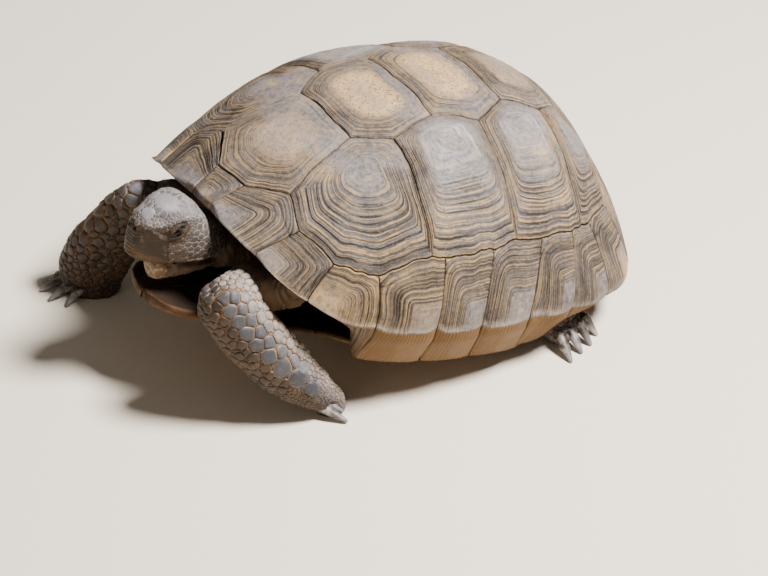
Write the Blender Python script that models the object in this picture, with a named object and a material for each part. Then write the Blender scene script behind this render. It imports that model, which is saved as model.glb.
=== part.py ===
"""A desert tortoise at life size, standing with its head raised and its shell tipped nose-up.

Every node is one named piece of the body: the horny plates of the shell, the plates under it, the head
with its jaw and eyes, the neck, the trunk that fills the shell, the four legs and the tail. Lengths are in
millimetres up to the last step. The animal looks along -Y, its left is +X, and the floor is z = 0.
"""

import math

import bmesh
import bpy
import numpy as np
from mathutils import Matrix, Vector

MM = 0.001

# How the shell stands: its own frame is level, and the whole of it is tipped and lifted.
SHELL_PITCH = math.radians(11.1)
SHELL_LIFT = 17.0

# The rim seen from above: a superellipse whose widest line lies behind the middle.
HALF_WIDTH = 112.2
WIDEST_Y = 37.0
FRONT_LENGTH = 166.4
REAR_LENGTH = 103.0
FRONT_POWER = 2.62
REAR_POWER = 3.5

# The front corners of the rim stand out a little more.
FLARE, FLARE_ANGLE, FLARE_SPREAD = 2.5, 33.0, 13.0

# The rim seen from the side: level along the bridge, flared upwards over the head.
RIM_Z = 30.3
RIM_REFERENCE = 140.0
BRIM_RISE = 54.0
BRIM_POWER = 3.4
TAIL_RISE = 5.7
TAIL_POWER = 2.5

# The dome over the rim: a lower fullness stands up more steeply from the rim.
CROWN_Z = 130.9
DOME_POWER = 2.4
SIDE_FULLNESS = 0.689
FRONT_FULLNESS = 1.17
REAR_FULLNESS = 0.595
FRONT_CORNER_FULLNESS = -0.324
REAR_CORNER_FULLNESS = 0.249

PLATE_THICKNESS = 4.0
HALF_GROOVE = 0.2
TRUNK_CLEARANCE = 1.2
RIM_LIP = 2.6

# The underside of the free rim runs in and up, and that of the bridge in and down to the plastron.
FREE_IN, FREE_UP = 20.0, 6.0
BRIDGE_IN, BRIDGE_UP = 13.0, -26.0
BRIDGE_START, BRIDGE_END = 50.0, 104.0
BRIDGE_RISE, BRIDGE_FALL = 8.0, 14.0

# Corners of the plates on the left side, as (x, y) seen from above.
CORNER = {
    "nuchal_in": (11.9, -109.0),
    "v1_m_c1": (34.4, -94.2),
    "v1_v2": (25.9, -51.6),
    "v2_c1_c2": (39.0, -31.3),
    "v2_v3": (32.4, -3.1),
    "v3_c2_c3": (43.5, 22.0),
    "v3_v4": (30.9, 45.7),
    "v4_c3_c4": (37.1, 71.6),
    "v4_v5": (26.6, 93.0),
    "v5_c4_m": (46.2, 113.0),
    "c1_c2_m": (94.4, -34.2),
    "c2_c3_m": (96.0, 24.4),
    "c3_c4_m": (91.6, 74.0),
}
# The inner corners of the seams between marginals, front to rear, and the rim angle that each seam runs to.
SEAMS = (
    ((11.9, -109.0), 1.7),
    ((54.1, -98.0), 19.3),
    ((75.6, -86.7), 37.9),
    ((89.9, -64.3), 58.4),
    ((97.0, -26.1), 72.7),
    ((97.8, 8.1), 82.0),
    ((97.0, 42.8), 89.7),
    ((94.0, 65.4), 96.0),
    ((90.4, 81.6), 112.0),
    ((78.0, 101.5), 138.0),
    ((46.2, 113.0), 158.0),
    ((17.0, 118.0), 174.6),
)
# What else an inner edge passes through between two seams, by the number of its marginal.
BENDS = {1: "v1_m_c1", 4: "c1_c2_m", 6: "c2_c3_m", 8: "c3_c4_m"}

# The plastron: half its width at points along it, and the seams between its plates.
PLASTRON_OUTLINE = (
    (-152.5, 6.0), (-150.5, 13.0), (-147.0, 20.5), (-140.5, 26.5), (-131.0, 31.0), (-106.0, 42.0),
    (-80.0, 52.0), (-66.0, 60.0), (-56.0, 70.0), (-46.0, 86.0), (-34.0, 91.0), (-15.0, 94.0), (10.0, 95.5),
    (30.0, 96.0), (46.0, 94.0), (53.0, 76.0), (60.0, 61.0), (80.0, 56.0), (98.0, 46.0), (110.0, 32.0),
    (118.0, 17.0),
)
PLASTRON_PLATES = (
    ("gular", -152.5, -121.0),
    ("humeral", -121.0, -72.0),
    ("pectoral", -72.0, -44.0),
    ("abdominal", -44.0, 40.0),
    ("femoral", 40.0, 88.0),
    ("anal", 88.0, 118.0),
)
PLASTRON_Z = 3.0
EDGE_CURL = 1.5
PLASTRON_FRONT_RISE = 8.0
PLASTRON_REAR_RISE = 6.0
PLASTRON_THICKNESS = 5.0
GULAR_THICKNESS = 6.5
ANAL_NOTCH = 12.0

# The head, in the shell's frame, rings from the nape to the snout:
# y, half width, crown, widest height, mouth line, squareness above and below.
HEAD_RINGS = (
    (-112.0, 15.0, 58.0, 48.0, 40.0, 2.2, 3.0),
    (-118.0, 17.2, 60.5, 49.5, 40.4, 2.2, 3.2),
    (-124.5, 19.2, 64.0, 51.0, 40.0, 2.3, 3.6),
    (-130.0, 19.8, 69.8, 53.0, 39.4, 2.4, 4.0),
    (-135.5, 19.4, 75.2, 55.0, 38.8, 2.5, 4.0),
    (-141.0, 17.8, 77.4, 57.0, 38.4, 2.6, 4.0),
    (-147.0, 15.8, 77.2, 58.0, 38.2, 2.8, 4.0),
    (-153.5, 13.0, 75.8, 57.0, 38.2, 2.7, 4.0),
    (-160.0, 10.0, 72.8, 55.0, 38.4, 2.5, 3.6),
    (-165.0, 7.0, 69.0, 54.0, 39.6, 2.4, 3.0),
    (-167.8, 4.2, 64.0, 53.0, 43.0, 2.2, 2.6),
)
HEAD_SIDES = 18
JAW_RINGS = (
    (-113.0, 12.0, 38.6, 36.6, 33.5, 3.0, 1.9),
    (-118.0, 14.2, 39.0, 36.6, 31.0, 3.2, 1.9),
    (-124.5, 15.8, 38.8, 36.2, 28.5, 3.6, 1.9),
    (-132.0, 15.0, 38.0, 35.6, 26.0, 4.0, 1.9),
    (-139.0, 12.8, 37.4, 35.0, 24.0, 4.0, 1.9),
    (-145.5, 10.0, 37.2, 34.4, 23.0, 4.0, 1.9),
    (-151.5, 7.0, 37.0, 34.2, 25.0, 3.6, 2.0),
    (-156.0, 4.0, 36.6, 34.2, 29.0, 3.0, 2.2),
)
JAW_SIDES = 12
EYE_CENTRE = (11.6, -147.6, 61.2)
EYE_RADIUS = 5.0
SOCKET_GAP = 0.3

# The neck, in the same frame: y, half width, top, middle, bottom.
NECK_RINGS = (
    (-80.0, 17.0, 57.0, 41.0, 24.0, 2.2, 2.2),
    (-96.0, 17.0, 57.0, 42.0, 25.0, 2.2, 2.2),
    (-111.6, 17.0, 58.0, 43.0, 26.0, 2.2, 2.2),
)
NECK_SIDES = 14

# Limbs, standing on the floor: (centre, half width, half thickness) from the elbow or hip to the sole.
LEFT_FOREARM = (
    ((48.5, -129.0, 90.0), 11.5, 9.5),
    ((51.0, -125.5, 80.0), 17.2, 13.6),
    ((58.0, -114.8, 59.5), 19.0, 14.5),
    ((68.0, -98.4, 36.0), 17.5, 13.5),
    ((75.5, -86.2, 22.0), 14.5, 11.5),
    ((77.5, -76.5, 12.0), 11.0, 9.0),
    ((77.5, -71.5, 5.0), 10.0, 8.5),
    ((78.0, -69.0, -2.0), 9.5, 8.0),
)
LEFT_FOREARM_ACROSS = (0.07, 0.81, 0.58)
LEFT_UPPER_ARM = (
    ((37.0, -70.0, 64.0), 16.0, 15.0),
    ((39.0, -88.0, 69.0), 16.0, 15.0),
    ((43.5, -106.0, 74.0), 16.0, 15.0),
    ((49.0, -120.0, 77.0), 14.5, 14.0),
)
LEFT_UPPER_ACROSS = (0.0, 0.0, 1.0)
LEFT_FORE_CLAWS = (
    ((84.2, -76.8, 5.5), (0.78, 0.56, -0.28), 12.5),
    ((79.5, -77.0, 9.5), (0.67, 0.64, -0.38), 12.5),
    ((71.5, -66.5, 6.5), (0.00, 0.95, -0.32), 9.0),
    ((67.5, -69.5, 5.5), (-0.35, 0.88, -0.30), 9.0),
    ((66.0, -74.0, 5.0), (-0.65, 0.70, -0.30), 8.0),
)
RIGHT_FOREARM = (
    ((-53.5, -105.5, 80.5), 11.0, 8.5),
    ((-57.0, -107.5, 74.0), 16.0, 12.0),
    ((-65.5, -112.5, 61.5), 18.0, 13.0),
    ((-72.5, -119.0, 46.5), 19.5, 13.5),
    ((-79.5, -125.5, 31.5), 20.5, 13.5),
    ((-85.0, -128.5, 16.0), 20.5, 13.0),
    ((-86.0, -129.5, 5.0), 19.0, 13.0),
    ((-86.0, -130.0, -2.0), 17.0, 12.0),
)
RIGHT_FOREARM_ACROSS = (0.6, 0.8, 0.0)
RIGHT_UPPER_ARM = (
    ((-37.0, -62.0, 62.0), 16.0, 15.0),
    ((-43.0, -77.0, 66.0), 16.0, 15.0),
    ((-49.5, -91.0, 69.5), 15.5, 14.5),
    ((-54.0, -102.0, 71.0), 14.0, 13.0),
)
RIGHT_UPPER_ACROSS = (0.0, 0.0, 1.0)
RIGHT_FORE_CLAWS = (
    ((-98.5, -134.5, 5.5), (-0.75, -0.60, -0.30), 11.0),
    ((-98.0, -141.0, 5.5), (-0.50, -0.82, -0.30), 12.5),
    ((-94.0, -145.0, 5.5), (-0.25, -0.93, -0.30), 12.5),
    ((-87.0, -145.5, 5.5), (0.05, -0.95, -0.30), 12.0),
    ((-80.0, -141.5, 5.5), (0.35, -0.88, -0.30), 10.5),
)
LEFT_HIND_LEG = (
    ((42.0, 56.0, 46.0), 17.0, 16.0),
    ((55.0, 65.0, 38.0), 17.5, 15.0),
    ((66.5, 72.0, 26.0), 17.5, 13.5),
    ((76.5, 77.5, 15.0), 18.0, 12.0),
    ((84.5, 81.0, 9.0), 18.5, 11.0),
    ((92.0, 84.0, 5.0), 17.5, 8.5),
    ((97.5, 86.3, 3.0), 14.0, 5.5),
)
LEFT_HIND_ACROSS = (-0.5, 0.85, 0.0)
LEFT_HIND_CLAWS = (
    ((104.0, 71.0, 7.0), (0.88, -0.12, -0.47), 13.0),
    ((102.5, 79.5, 7.0), (0.84, 0.00, -0.54), 11.0),
    ((100.0, 87.5, 7.0), (0.80, 0.12, -0.58), 10.5),
    ((95.5, 95.0, 6.5), (0.74, 0.25, -0.60), 9.5),
)
LIMB_SIDES = 12
CLAW_SIDES = 5
CLAW_ROOT = 6.0
CLAW_RADIUS = 3.3
CLAW_POWER = 2.0

TAIL = (
    ((0.0, 84.0, 26.0), 9.0, 9.0),
    ((1.0, 102.0, 21.0), 8.5, 8.0),
    ((5.0, 116.0, 16.5), 7.0, 6.5),
    ((13.0, 126.0, 13.0), 5.0, 4.8),
    ((22.0, 130.5, 10.5), 3.0, 3.0),
    ((28.0, 131.5, 9.0), 1.4, 1.4),
)
TAIL_SIDES = 8

COLOURS = {
    "vertebral": ((0.30, 0.25, 0.20), 0.62),
    "costal": ((0.29, 0.25, 0.21), 0.6),
    "marginal": ((0.31, 0.26, 0.19), 0.62),
    "plastron": ((0.42, 0.29, 0.15), 0.6),
    "skin": ((0.20, 0.15, 0.11), 0.8),
    "leg": ((0.27, 0.24, 0.22), 0.7),
    "head": ((0.32, 0.29, 0.28), 0.7),
    "beak": ((0.30, 0.22, 0.13), 0.55),
    "eye": ((0.02, 0.016, 0.012), 0.12),
}


# ---------------------------------------------------------------- the shell as a surface


def half_length(y):
    """How far the rim reaches from its widest line, towards the end that y is on."""
    return np.where(y < WIDEST_Y, FRONT_LENGTH, REAR_LENGTH)


def plan_power(y):
    return np.where(y < WIDEST_Y, FRONT_POWER, REAR_POWER)


def rim_height(y):
    rise = np.where(y < 0.0, BRIM_RISE, TAIL_RISE)
    power = np.where(y < 0.0, BRIM_POWER, TAIL_POWER)
    return RIM_Z + rise * (np.abs(y) / RIM_REFERENCE) ** power


def rim_point(angle):
    """The rim at an angle in degrees from the front, round the animal's left side."""
    s, c = math.sin(math.radians(angle)), math.cos(math.radians(angle))
    power = FRONT_POWER if c > 0.0 else REAR_POWER
    length = FRONT_LENGTH if c > 0.0 else REAR_LENGTH
    x = HALF_WIDTH * math.copysign(abs(s) ** (2.0 / power), s)
    y = WIDEST_Y - length * math.copysign(abs(c) ** (2.0 / power), c)
    flare = FLARE * math.exp(-(((abs(angle) - FLARE_ANGLE) / FLARE_SPREAD) ** 2))
    return np.array((x + flare * s, y - flare * c))


def dome_height(x, y):
    """Height of the shell's outer surface over (x, y)."""
    power = plan_power(y)
    ratio = np.abs(x / HALF_WIDTH) ** power + np.abs((y - WIDEST_Y) / half_length(y)) ** power
    rho = np.clip(ratio ** (1.0 / power), 1e-6, 1.0)
    rim_x, rim_y = x / rho, WIDEST_Y + (y - WIDEST_Y) / rho
    reach = np.maximum(np.hypot(rim_x, WIDEST_Y - rim_y), 1e-6)
    ahead, aside = (WIDEST_Y - rim_y) / reach, np.abs(rim_x) / reach
    front, rear = np.clip(ahead, 0.0, 1.0), np.clip(-ahead, 0.0, 1.0)
    fullness = (
        SIDE_FULLNESS
        + (FRONT_FULLNESS - SIDE_FULLNESS) * front**2
        + (REAR_FULLNESS - SIDE_FULLNESS) * rear**2
        + FRONT_CORNER_FULLNESS * (2.0 * front * aside) ** 2
        + REAR_CORNER_FULLNESS * (2.0 * rear * aside) ** 2
    )
    rim_z = rim_height(rim_y)
    return rim_z + (CROWN_Z - rim_z) * np.clip(1.0 - rho**DOME_POWER, 0.0, 1.0) ** fullness


def dome_points(plan, depth=0.0):
    """Points of the shell over an (n, 2) plan, moved inwards by depth along the surface normal."""
    x, y = plan[:, 0], plan[:, 1]
    z = dome_height(x, y)
    step = 0.4
    toward = 1.0 - step / np.maximum(np.hypot(x, y - WIDEST_Y), step)
    inner_x, inner_y = x * toward, WIDEST_Y + (y - WIDEST_Y) * toward
    slope_x = (dome_height(inner_x + step, inner_y) - dome_height(inner_x - step, inner_y)) / (2 * step)
    slope_y = (dome_height(inner_x, inner_y + step) - dome_height(inner_x, inner_y - step)) / (2 * step)
    normal = np.stack([-slope_x, -slope_y, np.ones_like(z)], axis=1)
    normal /= np.linalg.norm(normal, axis=1)[:, None]
    return np.stack([x, y, z], axis=1) - depth * normal


def shell_matrix():
    return Matrix.Translation((0.0, 0.0, SHELL_LIFT)) @ Matrix.Rotation(-SHELL_PITCH, 4, "X")


# ---------------------------------------------------------------- meshes


def make_object(name, points, faces, colour, matrix=None):
    """An object from points in millimetres, with its faces turned outwards."""
    mesh = bpy.data.meshes.new(name)
    mesh.from_pydata([tuple(p) for p in points], [], [tuple(f) for f in faces])
    body = bmesh.new()
    body.from_mesh(mesh)
    bmesh.ops.recalc_face_normals(body, faces=body.faces)
    if body.calc_volume(signed=True) < 0.0:
        bmesh.ops.reverse_faces(body, faces=body.faces)
    bmesh.ops.triangulate(body, faces=body.faces)
    body.transform(Matrix.Scale(MM, 4) @ (matrix or Matrix.Identity(4)))
    body.to_mesh(mesh)
    body.free()
    mesh.shade_smooth()
    mesh.set_sharp_from_angle(angle=math.radians(40.0))
    mesh.materials.append(material(colour))
    thing = bpy.data.objects.new(name, mesh)
    bpy.context.scene.collection.objects.link(thing)
    return thing


def material(colour):
    """The Principled material of this colour's name, made once."""
    found = bpy.data.materials.get(colour)
    if found:
        return found
    made = bpy.data.materials.new(colour)
    made.use_nodes = True
    shader = made.node_tree.nodes["Principled BSDF"]
    rgb, roughness = COLOURS[colour]
    shader.inputs["Base Color"].default_value = (*rgb, 1.0)
    shader.inputs["Roughness"].default_value = roughness
    shader.inputs["Metallic"].default_value = 0.0
    return made


def tube_faces(rings, sides):
    """Faces of a tube of closed rings, with a fan over each end from a point added after the rings."""
    faces = []
    for ring in range(rings - 1):
        for k in range(sides):
            a, b = ring * sides + k, ring * sides + (k + 1) % sides
            faces.append((a, b, b + sides, a + sides))
    first, last = rings * sides, rings * sides + 1
    end = (rings - 1) * sides
    for k in range(sides):
        faces.append((first, (k + 1) % sides, k))
        faces.append((last, end + k, end + (k + 1) % sides))
    return faces


def tube(name, rings, colour, matrix=None):
    """A closed tube through rings that all have the same number of points."""
    sides = len(rings[0])
    caps = [np.mean(rings[0], axis=0), np.mean(rings[-1], axis=0)]
    points = [p for ring in rings for p in ring] + caps
    return make_object(name, points, tube_faces(len(rings), sides), colour, matrix)


def superellipse(count, power_top, power_bottom):
    """Unit points (across, up) round a superellipse, with its own power above and below."""
    turn = 2.0 * math.pi / count
    points = []
    for k in range(count):
        c, s = math.cos((k + 0.5) * turn), math.sin((k + 0.5) * turn)
        power = 2.0 / (power_top if s > 0.0 else power_bottom)
        points.append((math.copysign(abs(c) ** power, c), math.copysign(abs(s) ** power, s)))
    return points


def upright_rings(table, sides):
    """Rings that stand across the body, from rows of y, half width, top, middle, bottom and two powers."""
    rings = []
    for y, half, top, middle, bottom, above, below in table:
        ring = []
        for across, up in superellipse(sides, above, below):
            height = (top - middle) if up > 0.0 else (middle - bottom)
            ring.append(np.array((half * across, y, middle + height * up)))
        rings.append(ring)
    return rings


def path_rings(stations, across, sides):
    """Rings round a path, square to it, the wider way lying along the given direction."""
    centres = [Vector(centre) for centre, _, _ in stations]
    rings = []
    for k, (_, half_wide, half_thick) in enumerate(stations):
        ahead = centres[min(k + 1, len(centres) - 1)] - centres[max(k - 1, 0)]
        ahead.normalize()
        wide = Vector(across)
        wide = (wide - ahead * wide.dot(ahead)).normalized()
        thick = ahead.cross(wide)
        ring = []
        for a, b in superellipse(sides, 2.2, 2.2):
            ring.append(np.array(centres[k] + wide * half_wide * a + thick * half_thick * b))
        rings.append(ring)
    return rings


def hide_helper(thing):
    thing.hide_render = True
    thing.display_type = "WIRE"
    return thing


def boolean(thing, other, operation):
    step = thing.modifiers.new(f"{operation.lower()} {other.name}", "BOOLEAN")
    step.operation = operation
    step.solver = "EXACT"
    step.object = other


# ---------------------------------------------------------------- carapace


def inset(corners, distance):
    """A polygon's corners moved in by a distance from both of their edges."""
    corners = [np.array(c, float) for c in corners]
    area = sum(a[0] * b[1] - b[0] * a[1] for a, b in zip(corners, corners[1:] + corners[:1]))
    side = 1.0 if area > 0.0 else -1.0
    moved = []
    for k, here in enumerate(corners):
        before, after = corners[k - 1], corners[(k + 1) % len(corners)]
        u, v = here - before, after - here
        u, v = u / np.linalg.norm(u), v / np.linalg.norm(v)
        inner_u, inner_v = side * np.array((-u[1], u[0])), side * np.array((-v[1], v[0]))
        moved.append(here + distance * (inner_u + inner_v) / (1.0 + inner_u.dot(inner_v)))
    return moved


def sampled(corners, spacing):
    """Points along a closed polygon, its corners among them, about this far apart."""
    points = []
    for a, b in zip(corners, corners[1:] + corners[:1]):
        count = max(1, round(np.linalg.norm(b - a) / spacing))
        points += [a + (b - a) * k / count for k in range(count)]
    return np.array(points)


def dome_plate(name, corners, colour, spacing=12.0, rings=4, inner_rings=2):
    """One plate of the dome: its outline, its outer face in shrinking rings, and a face below it."""
    outline = sampled(inset(corners, HALF_GROOVE), spacing)
    centre = outline.mean(axis=0)
    count = len(outline)
    points, faces = [], []
    for depth, steps in ((0.0, rings), (PLATE_THICKNESS, inner_rings)):
        start = len(points)
        for step in range(steps):
            plan = centre + (outline - centre) * (1.0 - step / steps)
            points += list(dome_points(plan, depth))
        points += list(dome_points(centre[None, :], depth))
        for step in range(steps - 1):
            for k in range(count):
                a, b = start + step * count + k, start + step * count + (k + 1) % count
                faces.append((a, b, b + count, a + count))
        last = start + (steps - 1) * count
        for k in range(count):
            faces.append((last + k, last + (k + 1) % count, len(points) - 1))
    below = rings * count + 1
    for k in range(count):
        faces.append((k, (k + 1) % count, below + (k + 1) % count, below + k))
    return make_object(name, points, faces, colour, shell_matrix())


def bridge_share(angle):
    """1 along the bridge, 0 where the rim is free, with a short slope between."""
    def slope(t):
        t = min(max(t, 0.0), 1.0)
        return t * t * (3.0 - 2.0 * t)

    angle = min(angle, 360.0 - angle)
    rise = slope((angle - BRIDGE_START + BRIDGE_RISE) / (2 * BRIDGE_RISE))
    fall = slope((BRIDGE_END + BRIDGE_FALL - angle) / (2 * BRIDGE_FALL))
    return min(rise, fall)


def under_point(rim_xyz, inner, angle, share=1.0):
    """A point of the rim's underside, a share of the way in from the rim."""
    bridge = bridge_share(angle)
    inwards = FREE_IN + (BRIDGE_IN - FREE_IN) * bridge
    up = FREE_UP + (BRIDGE_UP - FREE_UP) * bridge
    plan = np.array(inner) - rim_xyz[:2]
    plan /= np.linalg.norm(plan)
    drop = -RIM_LIP * (1.0 - share)
    return rim_xyz + np.array((*(plan * inwards * share), up * share + drop))


def rim_section(inner, angle):
    """The closed section of a rim plate: down its outer face, round the lip, in below, and back up."""
    rim = rim_point(angle)
    outer = []
    for share in (0.0, 0.25, 0.5, 0.72, 0.9):
        outer.append(inner + (rim - inner) * share)
    points = list(dome_points(np.array(outer)))
    rim_xyz = np.array((*rim, float(rim_height(rim[1]))))
    points.append(rim_xyz)
    points += [under_point(rim_xyz, inner, angle, share) for share in (0.08, 0.5, 1.0)]
    points.append(dome_points(np.array([inner]), PLATE_THICKNESS)[0])
    return points


def between(a, b, share):
    return np.array(a) + (np.array(b) - np.array(a)) * share


def rim_plate(name, inner_points, angles, right_side=False):
    """A plate of the rim, swept from one seam to the next."""
    lengths = [np.linalg.norm(np.subtract(b, a)) for a, b in zip(inner_points, inner_points[1:])]
    total = sum(lengths)
    stations, run = [], 0.0
    spans = 2 if len(lengths) > 1 else 3
    for k, length in enumerate(lengths):
        for step in range(spans):
            stations.append((run + length * step / spans) / total)
        run += length
    stations.append(1.0)
    margin = HALF_GROOVE / total
    rings = []
    for s in stations:
        s = margin + s * (1.0 - 2.0 * margin)
        along, k = s * total, 0
        while along > lengths[k] and k < len(lengths) - 1:
            along -= lengths[k]
            k += 1
        inner = between(inner_points[k], inner_points[k + 1], along / lengths[k])
        angle = angles[0] + (angles[1] - angles[0]) * s
        outward = rim_point(angle) - inner
        inner = inner + outward / np.linalg.norm(outward) * HALF_GROOVE
        rings.append(rim_section(inner, angle))
    if right_side:
        rings = [[p * (-1.0, 1.0, 1.0) for p in ring] for ring in rings]
    return tube(name, rings, "marginal", shell_matrix())


def mirrored(points):
    return [(-x, y) for x, y in points]


def build_vertebrals():
    c = CORNER
    halves = (
        (c["nuchal_in"], c["v1_m_c1"], c["v1_v2"]),
        (c["v1_v2"], c["v2_c1_c2"], c["v2_v3"]),
        (c["v2_v3"], c["v3_c2_c3"], c["v3_v4"]),
        (c["v3_v4"], c["v4_c3_c4"], c["v4_v5"]),
        (c["v4_v5"], c["v5_c4_m"], SEAMS[-1][0]),
    )
    for number, half in enumerate(halves, start=1):
        dome_plate(f"vertebral_{number}", list(half) + mirrored(half)[::-1], "vertebral")


def build_costals():
    c = CORNER
    rim = [inner for inner, _ in SEAMS]
    outlines = (
        (c["v1_m_c1"], *rim[1:4], c["c1_c2_m"], c["v2_c1_c2"], c["v1_v2"]),
        (c["c1_c2_m"], *rim[4:6], c["c2_c3_m"], c["v3_c2_c3"], c["v2_v3"], c["v2_c1_c2"]),
        (c["c2_c3_m"], *rim[6:8], c["c3_c4_m"], c["v4_c3_c4"], c["v3_v4"], c["v3_c2_c3"]),
        (c["c3_c4_m"], *rim[8:10], c["v5_c4_m"], c["v4_v5"], c["v4_c3_c4"]),
    )
    for number, outline in enumerate(outlines, start=1):
        dome_plate(f"costal_left_{number}", outline, "costal")
        dome_plate(f"costal_right_{number}", mirrored(outline), "costal")


def build_marginals():
    for number in range(1, len(SEAMS)):
        (start, start_angle), (end, end_angle) = SEAMS[number - 1], SEAMS[number]
        inner = [start, end]
        if number in BENDS:
            inner.insert(1, CORNER[BENDS[number]])
        for side in ("left", "right"):
            rim_plate(f"marginal_{side}_{number}", inner, (start_angle, end_angle), side == "right")
    for name, (inner, angle) in (("nuchal", SEAMS[0]), ("supracaudal", SEAMS[-1])):
        other = (-inner[0], inner[1])
        start, end = (-angle, angle) if name == "nuchal" else (360.0 - angle, angle)
        rim_plate(name, [other, inner], (start, end))


# ---------------------------------------------------------------- plastron


def plastron_half_width(y):
    return float(np.interp(y, [p[0] for p in PLASTRON_OUTLINE], [p[1] for p in PLASTRON_OUTLINE]))


def plastron_height(y):
    """The underside's height: lowest under the bridge, turned up a little at both ends."""
    end = (y / PLASTRON_OUTLINE[0][0]) if y < 0.0 else (y / PLASTRON_OUTLINE[-1][0])
    return PLASTRON_Z + (PLASTRON_FRONT_RISE if y < 0.0 else PLASTRON_REAR_RISE) * end**2


def plastron_thickness(y):
    forward = min(max((-90.0 - y) / 40.0, 0.0), 1.0)
    return PLASTRON_THICKNESS + (GULAR_THICKNESS - PLASTRON_THICKNESS) * forward


def plastron_end(x):
    """How far back the hind edge reaches: a notch between the two anal plates."""
    return ANAL_NOTCH * max(0.0, 1.0 - x / 17.0)


def build_plastron():
    columns = (0.0, 0.5, 0.85, 1.0)
    for name, front, rear in PLASTRON_PLATES:
        for side, sign in (("left", 1.0), ("right", -1.0)):
            breaks = [y for y, _ in PLASTRON_OUTLINE if front + 3.0 < y < rear - 3.0]
            stations = [front + HALF_GROOVE] + breaks + [rear - HALF_GROOVE]
            points, faces = [], []
            for y in stations:
                edge = plastron_half_width(y)
                low, thick = plastron_height(y), plastron_thickness(y)
                for column in columns:
                    x = HALF_GROOVE + (edge - HALF_GROOVE) * column
                    here = y - plastron_end(x) * max(0.0, (y - 105.0) / 13.0)
                    curl = EDGE_CURL * column**6
                    for z in (low + curl, low + thick):
                        points.append((sign * x, here, z))
            width = len(columns)
            for row in range(len(stations) - 1):
                for k in range(width - 1):
                    a, b = 2 * (row * width + k), 2 * ((row + 1) * width + k)
                    faces.append((a, a + 2, b + 2, b))
                    faces.append((a + 1, b + 1, b + 3, a + 3))
                a, b = 2 * row * width, 2 * (row + 1) * width
                faces.append((a, b, b + 1, a + 1))
                a, b = a + 2 * (width - 1), b + 2 * (width - 1)
                faces.append((a, a + 1, b + 1, b))
            for row in (0, len(stations) - 1):
                for k in range(width - 1):
                    a = 2 * (row * width + k)
                    faces.append((a, a + 1, a + 3, a + 2))
            make_object(f"{name}_{side}", points, faces, "plastron", shell_matrix())


# ---------------------------------------------------------------- trunk


def trunk_mesh(name, clearance):
    """The trunk: up against the dome and the rim plates, drawn in at the openings, flat on the plastron."""
    rows = []
    left = [(np.array(inner), angle) for inner, angle in SEAMS]
    nose = (np.array((0.0, SEAMS[0][0][1])), 0.0)
    rear = (np.array((0.0, SEAMS[-1][0][1])), 180.0)
    around = [nose] + left + [rear]
    around += [(inner * (-1.0, 1.0), -angle) for inner, angle in reversed(left)]
    centre = np.array((0.0, WIDEST_Y))
    for inner, angle in around:
        inner = inner + (centre - inner) / np.linalg.norm(centre - inner) * clearance
        row = [dome_points((centre + (inner - centre) * k)[None, :], PLATE_THICKNESS + clearance)[0]
               for k in (0.3, 0.6, 0.85, 1.0)]
        rim = rim_point(angle)
        rim_xyz = np.array((*rim, float(rim_height(rim[1]))))
        under = under_point(rim_xyz, inner, abs(angle))
        inward = np.array((*(inner - rim), 0.0))
        inward /= np.linalg.norm(inward)
        open_share = 1.0 - bridge_share(abs(angle))
        edge = under + inward * (clearance + 1.6) + np.array((0.0, 0.0, 1.0)) * open_share
        reach = plastron_reach(angle)
        inset_plan = centre + inward[:2] * clearance
        foot, foot_in, floor = (on_plastron(inset_plan + reach * k, clearance) for k in (0.86, 0.78, 0.4))
        foot[2] += 1.0
        edge[2] = max(edge[2], foot[2])
        middle = (edge + foot) / 2.0 + inward * 10.0 * open_share
        row += [edge, middle, foot, foot_in, floor]
        rows.append(row)
    top = dome_points(centre[None, :], PLATE_THICKNESS + clearance)[0]
    bottom = on_plastron(centre, clearance)
    levels, count = len(rows[0]), len(rows)
    points = [rows[k][level] for level in range(levels) for k in range(count)] + [top, bottom]
    return make_object(name, points, tube_faces(levels, count), "skin", shell_matrix())


def on_plastron(plan, clearance):
    """The point above the plastron at this plan position."""
    return np.array((*plan, plastron_height(plan[1]) + plastron_thickness(plan[1]) + clearance))


def plastron_reach(angle):
    """From the shell's centre to the plastron's edge, under the rim point at this angle."""
    centre = np.array((0.0, WIDEST_Y))
    way = rim_point(angle) - centre
    reach = 1.0
    while abs(way[0]) * reach > plastron_half_width(WIDEST_Y + way[1] * reach) or not (
        PLASTRON_OUTLINE[0][0] < WIDEST_Y + way[1] * reach < PLASTRON_OUTLINE[-1][0]
    ):
        reach -= 0.01
    front_limit = 0.8 if abs(angle) < 45.0 else 1.0
    return way * reach * front_limit


# ---------------------------------------------------------------- head and neck


def build_head():
    head = tube("head", upright_rings(HEAD_RINGS, HEAD_SIDES), "head", shell_matrix())
    tube("jaw", upright_rings(JAW_RINGS, JAW_SIDES), "beak", shell_matrix())
    for side, sign in (("left", 1.0), ("right", -1.0)):
        centre = (sign * EYE_CENTRE[0], EYE_CENTRE[1], EYE_CENTRE[2])
        ball(f"eye_{side}", centre, EYE_RADIUS, "eye", 10)
        socket = hide_helper(ball(f"socket_{side}", centre, EYE_RADIUS + SOCKET_GAP, "skin", 10))
        boolean(head, socket, "DIFFERENCE")


def ball(name, centre, radius, colour, sides):
    """A round ball in the shell's frame, its poles pointing out to the side."""
    turn = 2.0 * math.pi / sides
    rings = []
    for k in range(1, sides // 2):
        tilt = k * math.pi / (sides // 2)
        ring = []
        for step in range(sides):
            spread = radius * math.sin(tilt)
            offset = (radius * math.cos(tilt), spread * math.cos(step * turn), spread * math.sin(step * turn))
            ring.append(np.array(centre) + offset)
        rings.append(ring)
    points = [p for ring in rings for p in ring]
    points += [np.array(centre) + (radius, 0.0, 0.0), np.array(centre) - (radius, 0.0, 0.0)]
    return make_object(name, points, tube_faces(len(rings), sides), colour, shell_matrix())


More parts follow.
